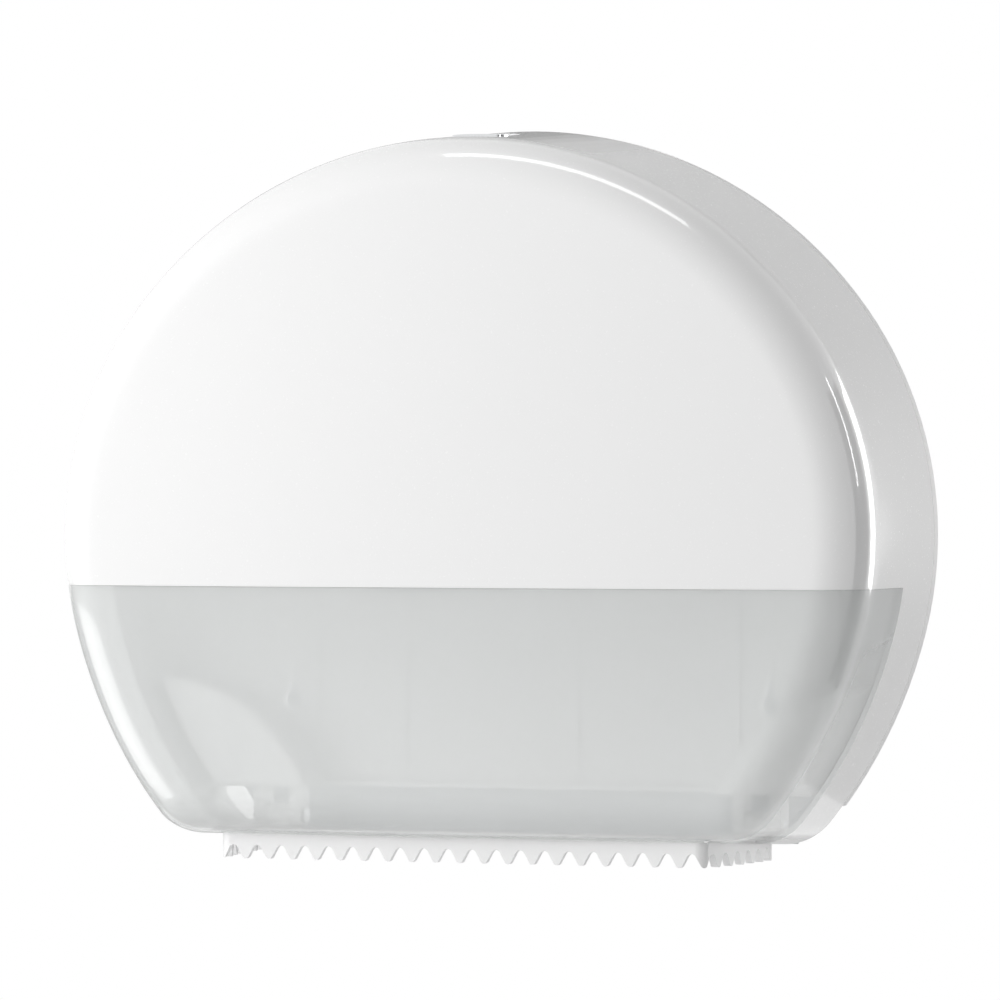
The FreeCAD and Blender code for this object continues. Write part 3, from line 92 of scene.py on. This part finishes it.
# The lock in the top of the cover, and the hinge
HOUSING_LOW, HOUSING_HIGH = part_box("lock_housing")
LOCK_MIDDLE = (HOUSING_LOW + HOUSING_HIGH) / 2
LOCK_HOLE = HOUSING_HIGH.x + 0.2 * MM
LOCK_STRAIGHT = (HOUSING_HIGH.y - HOUSING_LOW.y) - 2 * HOUSING_HIGH.x
LOCK_SEAT = HOUSING_HIGH.z - 2 * MM
LOCK_BODY = 12.05 * MM
LOCK_STEPS = 96
PIN_LOW, PIN_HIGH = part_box("hinge_pin_right")
HINGE_AXIS = (PIN_LOW + PIN_HIGH) / 2
HINGE_RADIUS = 6.5 * MM
PIN_HOLE = 2.56 * MM
KNUCKLE_INNER = 124.4 * MM
KNUCKLE_OUTER = 137.6 * MM
KNUCKLE_STEPS = 48

# How finely the cover is divided
WALL_ROWS = 14
ROUNDING_ROWS = 18
FRONT_ROWS = 22
ARC_STEPS = 48
CORNER_STEPS = 18
SMOOTH_ANGLE = 35
COVER_SMOOTH_ANGLE = 50
SOFT_EDGE = 0.4 * MM

# The camera of the photograph
PHOTO_SIDE = 1000
VIEW_AZIMUTH = math.radians(20.2)
EYE_HEIGHT = 41 * MM
EYE_DISTANCE = 3.300
FOCAL_PIXELS = 6399
SENSOR = 36
CENTRE_PIXEL = 531.15
HORIZON_PIXEL = 474

# The studio: how bright it is round the object, by azimuth. 0 is in front of it, 90 on its right.
STUDIO_LEVELS = (
    (-180, 0.85),
    (-120, 0.90),
    (-60, 1.00),
    (20, 1.00),
    (58, 1.00),
    (80, 0.45),
    (118, 0.45),
    (145, 0.80),
    (180, 0.85),
)
STUDIO_STRENGTH = 0.70
STUDIO_ABOVE = 0.9
FLOOR_SIZE = 12
FLOOR_HEIGHT = -0.9

# Curved cards that the cover mirrors: name, azimuths, heights, distance and tone
CARDS = (
    ("dark_card", (84, 118), (-0.8, 0.9), 1.6, 0.2),
    ("grey_card", (152, 208), (-0.7, 1.5), 1.6, 0.8),
    ("top_card", (190, 216), (0.22, 0.50), 1.55, 0.42),
    ("top_card", (190, 216), (0.50, 0.54), 1.55, 0.52),
    ("top_card", (190, 216), (0.54, 0.58), 1.55, 0.62),
    ("top_card", (190, 216), (0.58, 0.62), 1.55, 0.72),
    ("left_card", (-166, -98), (-1.1, -0.14), 1.6, 0.2),
)
CARD_STEPS = 12

# Soft boxes: name, azimuth, elevation, distance, width, height, power and what they light
SOFT_BOXES = (
    ("key", -48, 15, 2.1, 1.6, 1.6, 28.5, "matt"),
    ("edge", 138, 8, 2.4, 0.8, 1.4, 16, "all"),
    ("strip_above", 5, 79, 1.6, 1.15, 0.2, 2.2, "shiny"),
    ("box_left", -73, -18, 1.6, 1.25, 0.55, 5, "shiny"),
    ("strip_right", 97, 21, 1.4, 0.07, 0.55, 0.8, "shiny"),
)

# The wall behind the plate: half its width at each height
PATCH_ROWS = ((0.144, -0.147), (0.161, -0.122), (0.165, 0.120))
PATCH_BACK = 0.0015
# Painted shade: the wall's grey tone, darker than the plate, so that the keyholes and the gap
# under the plate show dark
WALL_SHADE_TONE = (0.5, 0.52, 0.54)


# Materials

SHELL_TONE = (0.82, 0.82, 0.82)
WINDOW_TONE = (0.77, 0.785, 0.78)
WINDOW_ALPHA = 0.5
COVER_IOR = 1.8


def principled(name, colour, roughness, coat=0.0, alpha=1.0, metallic=0.0, coat_ior=1.5):
    material = bpy.data.materials.new(name)
    material.use_nodes = True
    shader = material.node_tree.nodes["Principled BSDF"]
    shader.inputs["Base Color"].default_value = (*colour, 1)
    shader.inputs["Roughness"].default_value = roughness
    shader.inputs["Metallic"].default_value = metallic
    shader.inputs["Coat Weight"].default_value = coat
    shader.inputs["Coat Roughness"].default_value = 0.04
    shader.inputs["Coat IOR"].default_value = coat_ior
    shader.inputs["Alpha"].default_value = alpha
    return material, material.node_tree, shader


def add_grain(tree, shader, scale, strength, distance):
    """A fine moulded grain that only the light shows."""
    where = tree.nodes.new("ShaderNodeTexCoord")
    noise = tree.nodes.new("ShaderNodeTexNoise")
    noise.inputs["Scale"].default_value = scale
    noise.inputs["Detail"].default_value = 3
    bump = tree.nodes.new("ShaderNodeBump")
    bump.inputs["Strength"].default_value = strength
    bump.inputs["Distance"].default_value = distance
    tree.links.new(where.outputs["Object"], noise.inputs["Vector"])
    tree.links.new(noise.outputs["Fac"], bump.inputs["Height"])
    tree.links.new(bump.outputs["Normal"], shader.inputs["Normal"])
    return noise


def vary_roughness(tree, shader, noise, low, high):
    spread = tree.nodes.new("ShaderNodeMapRange")
    spread.inputs["To Min"].default_value = low
    spread.inputs["To Max"].default_value = high
    tree.links.new(noise.outputs["Fac"], spread.inputs["Value"])
    tree.links.new(spread.outputs["Result"], shader.inputs["Roughness"])


def make_shell_white():
    material, tree, shader = principled(
        "shell_white", SHELL_TONE, 0.25, coat=1.0, coat_ior=COVER_IOR
    )
    noise = add_grain(tree, shader, 900, 0.02, 0.00002)
    vary_roughness(tree, shader, noise, 0.22, 0.3)
    return material


def make_window_smoke():
    material, tree, shader = principled(
        "window_smoke", WINDOW_TONE, 0.22, coat=1.0, alpha=WINDOW_ALPHA, coat_ior=COVER_IOR
    )
    noise = add_grain(tree, shader, 1200, 0.02, 0.00002)
    vary_roughness(tree, shader, noise, 0.18, 0.26)
    return material


def make_satin(name, colour, roughness=0.45):
    material, tree, shader = principled(name, colour, roughness)
    noise = add_grain(tree, shader, 1400, 0.05, 0.00003)
    vary_roughness(tree, shader, noise, roughness - 0.05, roughness + 0.08)
    return material


def make_metal(name, colour, roughness):
    material, tree, shader = principled(name, colour, roughness, metallic=1.0)
    noise = add_grain(tree, shader, 700, 0.04, 0.00002)
    vary_roughness(tree, shader, noise, roughness - 0.06, roughness + 0.08)
    return material


MATERIALS = {
    "shell_white": make_shell_white(),
    "window_smoke": make_window_smoke(),
    "plate_white": make_satin("plate_white", (0.80, 0.80, 0.80)),
    "hub_grey": make_satin("hub_grey", (0.52, 0.53, 0.55)),
    "bar_white": make_satin("bar_white", (0.84, 0.84, 0.84), 0.35),
    "steel": make_metal("steel", (0.62, 0.63, 0.64), 0.32),
    "lock_metal": make_metal("lock_metal", (0.75, 0.76, 0.77), 0.18),
}


def dress(piece, slot):
    piece.data.materials.clear()
    piece.data.materials.append(MATERIALS[slot])


def smooth(piece, angle=SMOOTH_ANGLE):
    piece.data.shade_smooth()
    edges = piece.modifiers.new("smooth_by_angle", "EDGE_SPLIT")
    edges.split_angle = math.radians(angle)
    edges.use_edge_sharp = False


def soften(piece, width, segments=2):
    """Rounds a piece's sharp edges so that they catch the light."""
    bevel = piece.modifiers.new("soft_edges", "BEVEL")
    bevel.width = width
    bevel.segments = segments
    bevel.limit_method = "ANGLE"
    bevel.angle_limit = math.radians(40)
    bevel.harden_normals = True


# The cover's form


def arc_points(centre, radius, start, stop, steps):
    """Points on an arc, each with its outward normal. Angles run clockwise from the top."""
    for step in range(steps):
        turn = start + (stop - start) * step / steps
        normal = Vector((math.sin(turn), math.cos(turn)))
        yield Vector(centre) + normal * radius, normal


def right_outline():
    """The right half of the outline from the top to the middle of the bottom, with its normals."""
    middle = Vector((0, OUTLINE_TOP - TOP_RADIUS))
    first = math.asin(SIDE_CENTRE / (TOP_RADIUS - SIDE_RADIUS))
    side = Vector((SIDE_CENTRE, middle.y + (TOP_RADIUS - SIDE_RADIUS) * math.cos(first)))
    second = math.pi - math.asin((SIDE_CENTRE + LOWER_CENTRE) / (LOWER_RADIUS - SIDE_RADIUS))
    lower = Vector((-LOWER_CENTRE, side.y - (LOWER_RADIUS - SIDE_RADIUS) * math.cos(second)))
    fall = lower.y - OUTLINE_BOTTOM - CORNER_RADIUS
    third = math.pi - math.acos(fall / (LOWER_RADIUS - CORNER_RADIUS))
    flat = lower.x + (LOWER_RADIUS - CORNER_RADIUS) * math.sin(third)
    corner = Vector((flat, OUTLINE_BOTTOM + CORNER_RADIUS))
    points = []
    for centre, radius, start, stop, steps in (
        (middle, TOP_RADIUS, 0, first, ARC_STEPS),
        (side, SIDE_RADIUS, first, second, ARC_STEPS),
        (lower, LOWER_RADIUS, second, third, ARC_STEPS),
        (corner, CORNER_RADIUS, third, math.pi, CORNER_STEPS),
    ):
        points += arc_points(centre, radius, start, stop, steps)
    for step in range(ARC_STEPS):
        points.append((Vector((flat * (1 - step / ARC_STEPS), OUTLINE_BOTTOM)), Vector((0, -1))))
    points.append((Vector((0, OUTLINE_BOTTOM)), Vector((0, -1))))
    return points


def outline():
    right = right_outline()
    left = [(Vector((-p.x, p.y)), Vector((-n.x, n.y))) for p, n in reversed(right[1:-1])]
    return right + left


def dome_depth(across, up):
    """How far the front stands out from the wall at a place."""
    away = across**2 + (up - DOME_HEIGHT) ** 2
    return DEPTH_FRONT - away / (2 * DOME_DROP_RADIUS)


def wall_lean(normal):
    if normal.y > 0:
        return LEAN_SIDE + (LEAN_TOP - LEAN_SIDE) * normal.y**2
    return LEAN_SIDE + (LEAN_BOTTOM - LEAN_SIDE) * normal.y**2


def edge_rounding(normal):
    """The radius of the rounded front edge, a little smaller along the bottom and its corners."""
    share = min(1, max(0, (-normal.y - BOTTOM_FROM) / BOTTOM_SPAN))
    share = share * share * (3 - 2 * share)
    return ROUNDING + (BOTTOM_ROUNDING - ROUNDING) * share


def section(point, normal):
    """A cut through the wall and the rounded edge: (inset, depth) from the rear to the front."""
    lean = wall_lean(normal)
    tilt = math.atan(lean)
    rounding = edge_rounding(normal)
    reach = rounding + lean * (DEPTH_FRONT - DEPTH_REAR)
    inner = point - normal * reach
    step = 1 * MM
    deeper = point - normal * (reach + step)
    slope = (dome_depth(*deeper) - dome_depth(*inner)) / step
    rise = math.atan(slope)
    wall_normal = Vector((-math.cos(tilt), math.sin(tilt)))
    front_normal = Vector((-math.sin(rise), math.cos(rise)))
    wall_dot = Vector((0, DEPTH_REAR)).dot(wall_normal) - rounding
    front_dot = Vector((reach, dome_depth(*inner))).dot(front_normal) - rounding
    spin = wall_normal.x * front_normal.y - wall_normal.y * front_normal.x
    centre = Vector(
        (
            (wall_dot * front_normal.y - front_dot * wall_normal.y) / spin,
            (wall_normal.x * front_dot - front_normal.x * wall_dot) / spin,
        )
    )
    start = centre + wall_normal * rounding
    cuts = []
    for row in range(WALL_ROWS):
        share = row / WALL_ROWS
        cuts.append(Vector((start.x * share, DEPTH_REAR + (start.y - DEPTH_REAR) * share)))
    sweep = math.pi / 2 - tilt - rise
    for row in range(ROUNDING_ROWS + 1):
        turn = math.pi - tilt - sweep * row / ROUNDING_ROWS
        cuts.append(centre + Vector((math.cos(turn), math.sin(turn))) * rounding)
    return cuts


def skin():
    """The cover's whole outer face as one smooth mesh."""
    mesh = bmesh.new()
    ring = outline()
    rows = []
    for point, normal in ring:
        column = []
        for inset, depth in section(point, normal):
            place = point - normal * inset
            column.append(mesh.verts.new((place.x, -depth, place.y)))
        last = column[-1].co
        for row in range(1, FRONT_ROWS):
            share = 1 - row / FRONT_ROWS
            across = last.x * share
            up = DOME_HEIGHT + (last.z - DOME_HEIGHT) * share
            column.append(mesh.verts.new((across, -dome_depth(across, up), up)))
        rows.append(column)
    centre = mesh.verts.new((0, -DEPTH_FRONT, DOME_HEIGHT))
    count = len(rows)
    for index in range(count):
        here, there = rows[index], rows[(index + 1) % count]
        for row in range(len(here) - 1):
            mesh.faces.new((here[row], there[row], there[row + 1], here[row + 1]))
        mesh.faces.new((here[-1], there[-1], centre))
    bmesh.ops.recalc_face_normals(mesh, faces=mesh.faces)
    return mesh


def slice_at(mesh, place, direction):
    everything = list(mesh.verts) + list(mesh.edges) + list(mesh.faces)
    bmesh.ops.bisect_plane(mesh, geom=everything, plane_co=place, plane_no=direction, dist=1e-7)


def keep(mesh, test):
    away = [face for face in mesh.faces if not test(face.calc_center_median())]
    bmesh.ops.delete(mesh, geom=away, context="FACES")


def in_outlet(place):
    """Whether a place lies in the opening for the paper."""
    if place.z > OUTLINE_BOTTOM + OUTLET_REACH:
        return False
    depth = -place.y
    if not OUTLET_REAR < depth < OUTLET_FRONT:
        return False
    share = (depth - OUTLET_REAR) / (OUTLET_FRONT - OUTLET_REAR)
    return abs(place.x) < OUTLET_HALF_REAR + (OUTLET_HALF_FRONT - OUTLET_HALF_REAR) * share


def in_window(place, gap):
    """Whether a place belongs to the window, less a gap along its edges."""
    return place.z < WINDOW_TOP - gap and -place.y > WINDOW_REAR + gap


def bake(piece):
    """Turns a piece's modifiers into its mesh."""
    graph = bpy.context.evaluated_depsgraph_get()
    made = bpy.data.meshes.new_from_object(piece.evaluated_get(graph))
    piece.modifiers.clear()
    piece.data = made


def new_piece(name, mesh):
    bmesh.ops.recalc_face_normals(mesh, faces=mesh.faces)
    data = bpy.data.meshes.new(name)
    mesh.to_mesh(data)
    mesh.free()
    piece = bpy.data.objects.new(name, data)
    bpy.context.scene.collection.objects.link(piece)
    return piece


def loft(name, loops):
    """A closed piece from equal loops, each joined to the next and the last to the first."""
    mesh = bmesh.new()
    rings = [[mesh.verts.new(place) for place in loop] for loop in loops]
    for index, ring in enumerate(rings):
        after = rings[(index + 1) % len(rings)]
        for step in range(len(ring)):
            following = (step + 1) % len(ring)
            mesh.faces.new((ring[step], ring[following], after[following], after[step]))
    return new_piece(name, mesh)


def stadium(radius, straight):
    """Points round the lock's axis on a rounded bar that is long from front to rear."""
    points = []
    for step in range(LOCK_STEPS):
        turn = 2 * math.pi * (step + 0.5) / LOCK_STEPS
        shift = math.copysign(straight / 2, math.sin(turn))
        across = LOCK_MIDDLE.x + radius * math.cos(turn)
        points.append((across, LOCK_MIDDLE.y + shift + radius * math.sin(turn)))
    return points


def top_height(across, depth):
    """The height of the cover's top wall at a place, from the outline's top arc."""
    radius = TOP_RADIUS - LEAN_TOP * (depth - DEPTH_REAR)
    return OUTLINE_TOP - TOP_RADIUS + math.sqrt(radius**2 - across**2)


def lock_cutter():
    """A plug of the lock's outline, from the lock's seat to above the cover."""
    mesh = bmesh.new()
    rings = []
    for z in (LOCK_SEAT, OUTLINE_TOP + WALL):
        rings.append([mesh.verts.new((x, y, z)) for x, y in stadium(LOCK_HOLE, LOCK_STRAIGHT)])
    for step in range(LOCK_STEPS):
        following = (step + 1) % LOCK_STEPS
        mesh.faces.new((rings[0][step], rings[0][following], rings[1][following], rings[1][step]))
    mesh.faces.new(rings[0])
    mesh.faces.new(rings[1])
    return new_piece("lock_cutter", mesh)


def make_lock_cup():
    """The cup in the cover's top that holds the lock, with a round hole in its floor."""
    outer = stadium(LOCK_HOLE + WALL, LOCK_STRAIGHT)
    inner = stadium(LOCK_HOLE, LOCK_STRAIGHT)
    hole = stadium(LOCK_BODY, 0)
    foot = LOCK_SEAT - WALL
    loops = [
        [(x, y, foot) for x, y in hole],
        [(x, y, foot) for x, y in outer],
        [(x, y, top_height(x, -y) - WALL / 2) for x, y in outer],
        [(x, y, top_height(x, -y) - WALL / 2) for x, y in inner],
        [(x, y, LOCK_SEAT) for x, y in inner],
        [(x, y, LOCK_SEAT) for x, y in hole],
    ]
    cup = loft("lock_cup", loops)
    smooth(cup)
    dress(cup, "shell_white")
    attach(cup, "cover")


def make_knuckle(name, low, high):
    """A hinge knuckle that stands on the cover's bottom wall, with its bore."""
    outer, bore = [], []
    for step in range(KNUCKLE_STEPS):
        turn = 2 * math.pi * (step + 0.5) / KNUCKLE_STEPS
        across, up = math.cos(turn) * HINGE_RADIUS, math.sin(turn) * HINGE_RADIUS
        if up < 0:
            up = max(up * 3, OUTLINE_BOTTOM + WALL / 2 - HINGE_AXIS.z)
            across = math.copysign(HINGE_RADIUS, across) if up * 3 < -HINGE_RADIUS else across
        outer.append((HINGE_AXIS.y + across, HINGE_AXIS.z + up))
        level = HINGE_AXIS.z + math.sin(turn) * PIN_HOLE
        bore.append((HINGE_AXIS.y + math.cos(turn) * PIN_HOLE, level))
    rings = ((low, bore), (low, outer), (high, outer), (high, bore))
    loops = [[(x, y, z) for y, z in ring] for x, ring in rings]
    knuckle = loft(name, loops)
    smooth(knuckle)
    dress(knuckle, "shell_white")
    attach(knuckle, "cover")


def cover_part(name, gap, test):
    """The part of the cover's skin that a test keeps, cut along the window and thickened."""
    mesh = skin()
    slice_at(mesh, (0, 0, WINDOW_TOP - gap), (0, 0, 1))
    slice_at(mesh, (0, -WINDOW_REAR - gap, 0), (0, 1, 0))
    slice_at(mesh, (0, -OUTLET_REAR, 0), (0, 1, 0))
    slice_at(mesh, (0, -OUTLET_FRONT, 0), (0, 1, 0))
    for sign in (-1, 1):
        edge = Vector((sign * OUTLET_HALF_REAR, -OUTLET_REAR, 0))
        end = Vector((sign * OUTLET_HALF_FRONT, -OUTLET_FRONT, 0))
        along = end - edge
        slice_at(mesh, edge, (along.y, -along.x, 0))
    keep(mesh, lambda place: test(place) and not in_outlet(place))
    piece = new_piece(name, mesh)
    solid = piece.modifiers.new("wall", "SOLIDIFY")
    solid.thickness = WALL
    solid.offset = -1
    return piece


def finish_cover_part(piece, slot):
    bake(piece)
    smooth(piece, COVER_SMOOTH_ANGLE)
    dress(piece, slot)
    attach(piece, "cover")


def make_cover():
    """The white shell and the window, which stand for the frame's plainer ones."""
    shell = cover_part("cover_skin", 0, lambda place: not in_window(place, 0))
    cutter = lock_cutter()
    opening = shell.modifiers.new("lock_opening", "BOOLEAN")
    opening.operation = "DIFFERENCE"
    opening.solver = "EXACT"
    opening.object = cutter
    finish_cover_part(shell, "shell_white")
    bpy.data.objects.remove(cutter)
    window = cover_part("window_skin", SEAM, lambda place: in_window(place, SEAM))
    finish_cover_part(window, "window_smoke")
    window.visible_shadow = False
    make_lock_cup()
    for side, sign in (("left", -1), ("right", 1)):
        edges = sorted((sign * KNUCKLE_INNER, sign * KNUCKLE_OUTER))
        make_knuckle("hinge_knuckle_" + side, *edges)
    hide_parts("window_panel")
    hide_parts("cover_shell")


# The light, the floor and the camera


def area_light(name, azimuth, elevation, distance, width, height, power, lights):
    """A soft box that looks at the object and lights its matt side, its gloss or both."""
    a, e = math.radians(azimuth), math.radians(elevation)
    data = bpy.data.lights.new(name, "AREA")
    data.shape = "RECTANGLE"
    data.size = width
    data.size_y = height
    data.energy = power
    lamp = bpy.data.objects.new(name, data)
    place = Vector((math.sin(a) * math.cos(e), -math.cos(a) * math.cos(e), math.sin(e)))
    lamp.location = place * distance
    lamp.rotation_euler = (-lamp.location).to_track_quat("-Z", "Y").to_euler()
    lamp.visible_diffuse = lights != "shiny"
    lamp.visible_glossy = lights != "matt"
    bpy.context.scene.collection.objects.link(lamp)


def ray_mix(tree, shaded, plain):
    """Plain to the camera and through or off shiny pieces, and shaded for all other light."""
    path = tree.nodes.new("ShaderNodeLightPath")
    last = path.outputs["Is Camera Ray"]
    for kind in ("Is Transmission Ray", "Is Glossy Ray"):
        either = tree.nodes.new("ShaderNodeMath")
        either.operation = "MAXIMUM"
        tree.links.new(last, either.inputs[0])
        tree.links.new(path.outputs[kind], either.inputs[1])
        last = either.outputs[0]
    mix = tree.nodes.new("ShaderNodeMixShader")
    tree.links.new(last, mix.inputs["Fac"])
    tree.links.new(shaded, mix.inputs[1])
    tree.links.new(plain, mix.inputs[2])
    return mix


def make_world():
    """A studio that is bright in front and behind, and darker on the object's right."""
    world = bpy.data.worlds.new("studio")
    bpy.context.scene.world = world
    world.use_nodes = True
    tree = world.node_tree
    tree.nodes.clear()
    room = tree.nodes.new("ShaderNodeBackground")
    where = tree.nodes.new("ShaderNodeTexCoord")
    split = tree.nodes.new("ShaderNodeSeparateXYZ")
    flip = tree.nodes.new("ShaderNodeMath")
    flip.operation = "MULTIPLY"
    flip.inputs[1].default_value = -1
    turn = tree.nodes.new("ShaderNodeMath")
    turn.operation = "ARCTAN2"
    span = tree.nodes.new("ShaderNodeMapRange")
    span.inputs["From Min"].default_value = -math.pi
    span.inputs["From Max"].default_value = math.pi
    ramp = tree.nodes.new("ShaderNodeValToRGB")
    tree.links.new(where.outputs["Generated"], split.inputs["Vector"])
    tree.links.new(split.outputs["Y"], flip.inputs[0])
    tree.links.new(split.outputs["X"], turn.inputs[0])
    tree.links.new(flip.outputs[0], turn.inputs[1])
    tree.links.new(turn.outputs[0], span.inputs["Value"])
    tree.links.new(span.outputs["Result"], ramp.inputs["Fac"])
    stops = ramp.color_ramp.elements
    stops[0].position = 0
    stops[1].position = 1
    for azimuth, level in STUDIO_LEVELS:
        if azimuth == -180:
            stop = stops[0]
        elif azimuth == 180:
            stop = stops[-1]
        else:
            stop = stops.new((azimuth + 180) / 360)
        stop.color = (level, level, level, 1)
    tree.links.new(ramp.outputs["Color"], room.inputs["Color"])
    fall = tree.nodes.new("ShaderNodeMapRange")
    fall.inputs["To Min"].default_value = STUDIO_STRENGTH
    fall.inputs["To Max"].default_value = STUDIO_STRENGTH * STUDIO_ABOVE
    tree.links.new(split.outputs["Z"], fall.inputs["Value"])
    tree.links.new(fall.outputs["Result"], room.inputs["Strength"])
    white = tree.nodes.new("ShaderNodeBackground")
    white.inputs["Color"].default_value = (1, 1, 1, 1)
    output = tree.nodes.new("ShaderNodeOutputWorld")
    mix = ray_mix(tree, room.outputs[0], white.outputs[0])
    tree.links.new(mix.outputs[0], output.inputs["Surface"])


def make_card(name, azimuths, heights, distance, tone):
    """An upright curved card outside the picture, which the cover mirrors."""
    mesh = bmesh.new()
    rows = []
    for step in range(CARD_STEPS + 1):
        turn = math.radians(azimuths[0] + (azimuths[1] - azimuths[0]) * step / CARD_STEPS)
        across, back = math.sin(turn) * distance, -math.cos(turn) * distance
        rows.append([mesh.verts.new((across, back, height)) for height in heights])
    for here, there in zip(rows, rows[1:]):
        mesh.faces.new((here[0], there[0], there[1], here[1]))
    card = new_piece(name, mesh)
    material = bpy.data.materials.new(name)
    material.use_nodes = True
    shader = material.node_tree.nodes["Principled BSDF"]
    shader.inputs["Base Color"].default_value = (tone, tone, tone, 1)
    shader.inputs["Roughness"].default_value = 0.9
    card.data.materials.append(material)
    card.visible_camera = False


def make_wall_shade_patch():
    """The wall that shows through the keyholes. Its grey tone is painted shade, so that the
    keyholes and the gap under the plate show dark. Only a camera in front of it sees it.
    """
    mesh = bmesh.new()
    left = [mesh.verts.new((-half, PATCH_BACK, up)) for half, up in PATCH_ROWS]
    right = [mesh.verts.new((half, PATCH_BACK, up)) for half, up in PATCH_ROWS]
    mesh.faces.new(right + left[::-1])
    patch = new_piece("wall_shade_patch", mesh)
    material = bpy.data.materials.new("wall_painted_shade")
    material.use_nodes = True
    tree = material.node_tree
    shader = tree.nodes["Principled BSDF"]
    # The grey tone is painted shade behind the plate's keyholes
    shader.inputs["Base Color"].default_value = (*WALL_SHADE_TONE, 1)
    shader.inputs["Roughness"].default_value = 0.9
    side = tree.nodes.new("ShaderNodeNewGeometry")
    clear = tree.nodes.new("ShaderNodeBsdfTransparent")
    mix = tree.nodes.new("ShaderNodeMixShader")
    tree.links.new(side.outputs["Backfacing"], mix.inputs["Fac"])
    tree.links.new(shader.outputs[0], mix.inputs[1])
    tree.links.new(clear.outputs[0], mix.inputs[2])
    tree.links.new(mix.outputs[0], tree.nodes["Material Output"].inputs["Surface"])
    patch.data.materials.append(material)
    for polygon in patch.data.polygons:
        if polygon.normal.y > 0:
            polygon.flip()
    patch.visible_diffuse = False
    patch.visible_glossy = False
    patch.visible_shadow = False


def make_floor():
    bpy.ops.mesh.primitive_plane_add(size=FLOOR_SIZE, location=(0, 0, FLOOR_HEIGHT))
    floor = bpy.context.object
    floor.name = "floor"
    material = bpy.data.materials.new("floor_white")
    material.use_nodes = True
    tree = material.node_tree
    shader = tree.nodes["Principled BSDF"]
    shader.inputs["Base Color"].default_value = (0.8, 0.8, 0.8, 1)
    shader.inputs["Roughness"].default_value = 0.9
    white = tree.nodes.new("ShaderNodeEmission")
    mix = ray_mix(tree, shader.outputs[0], white.outputs[0])
    tree.links.new(mix.outputs[0], tree.nodes["Material Output"].inputs["Surface"])
    floor.data.materials.append(material)


def make_camera():
    data = bpy.data.cameras.new("camera")
    data.sensor_width = SENSOR
    data.lens = FOCAL_PIXELS / PHOTO_SIDE * SENSOR
    data.shift_x = (PHOTO_SIDE / 2 - CENTRE_PIXEL) / PHOTO_SIDE
    data.shift_y = (HORIZON_PIXEL - PHOTO_SIDE / 2) / PHOTO_SIDE
    camera = bpy.data.objects.new("camera", data)
    across, away = math.sin(VIEW_AZIMUTH) * EYE_DISTANCE, math.cos(VIEW_AZIMUTH) * EYE_DISTANCE
    camera.location = (across, -away, EYE_HEIGHT)
    camera.rotation_euler = (math.pi / 2, 0, VIEW_AZIMUTH)
    bpy.context.scene.collection.objects.link(camera)
    bpy.context.scene.camera = camera


make_cover()
for part in frame["record"]["subparts"]:
    node = frame["nodes"][part["node"]]
    dress(node, part["material_slot"])
    smooth(node)
for name in ("tear_bar", "back_plate"):
    soften(frame["nodes"][name], SOFT_EDGE)

make_world()
make_floor()
make_wall_shade_patch()
for card in CARDS:
    make_card(*card)
for box in SOFT_BOXES:
    area_light(*box)
make_camera()
bpy.context.scene.view_settings.view_transform = "Standard"
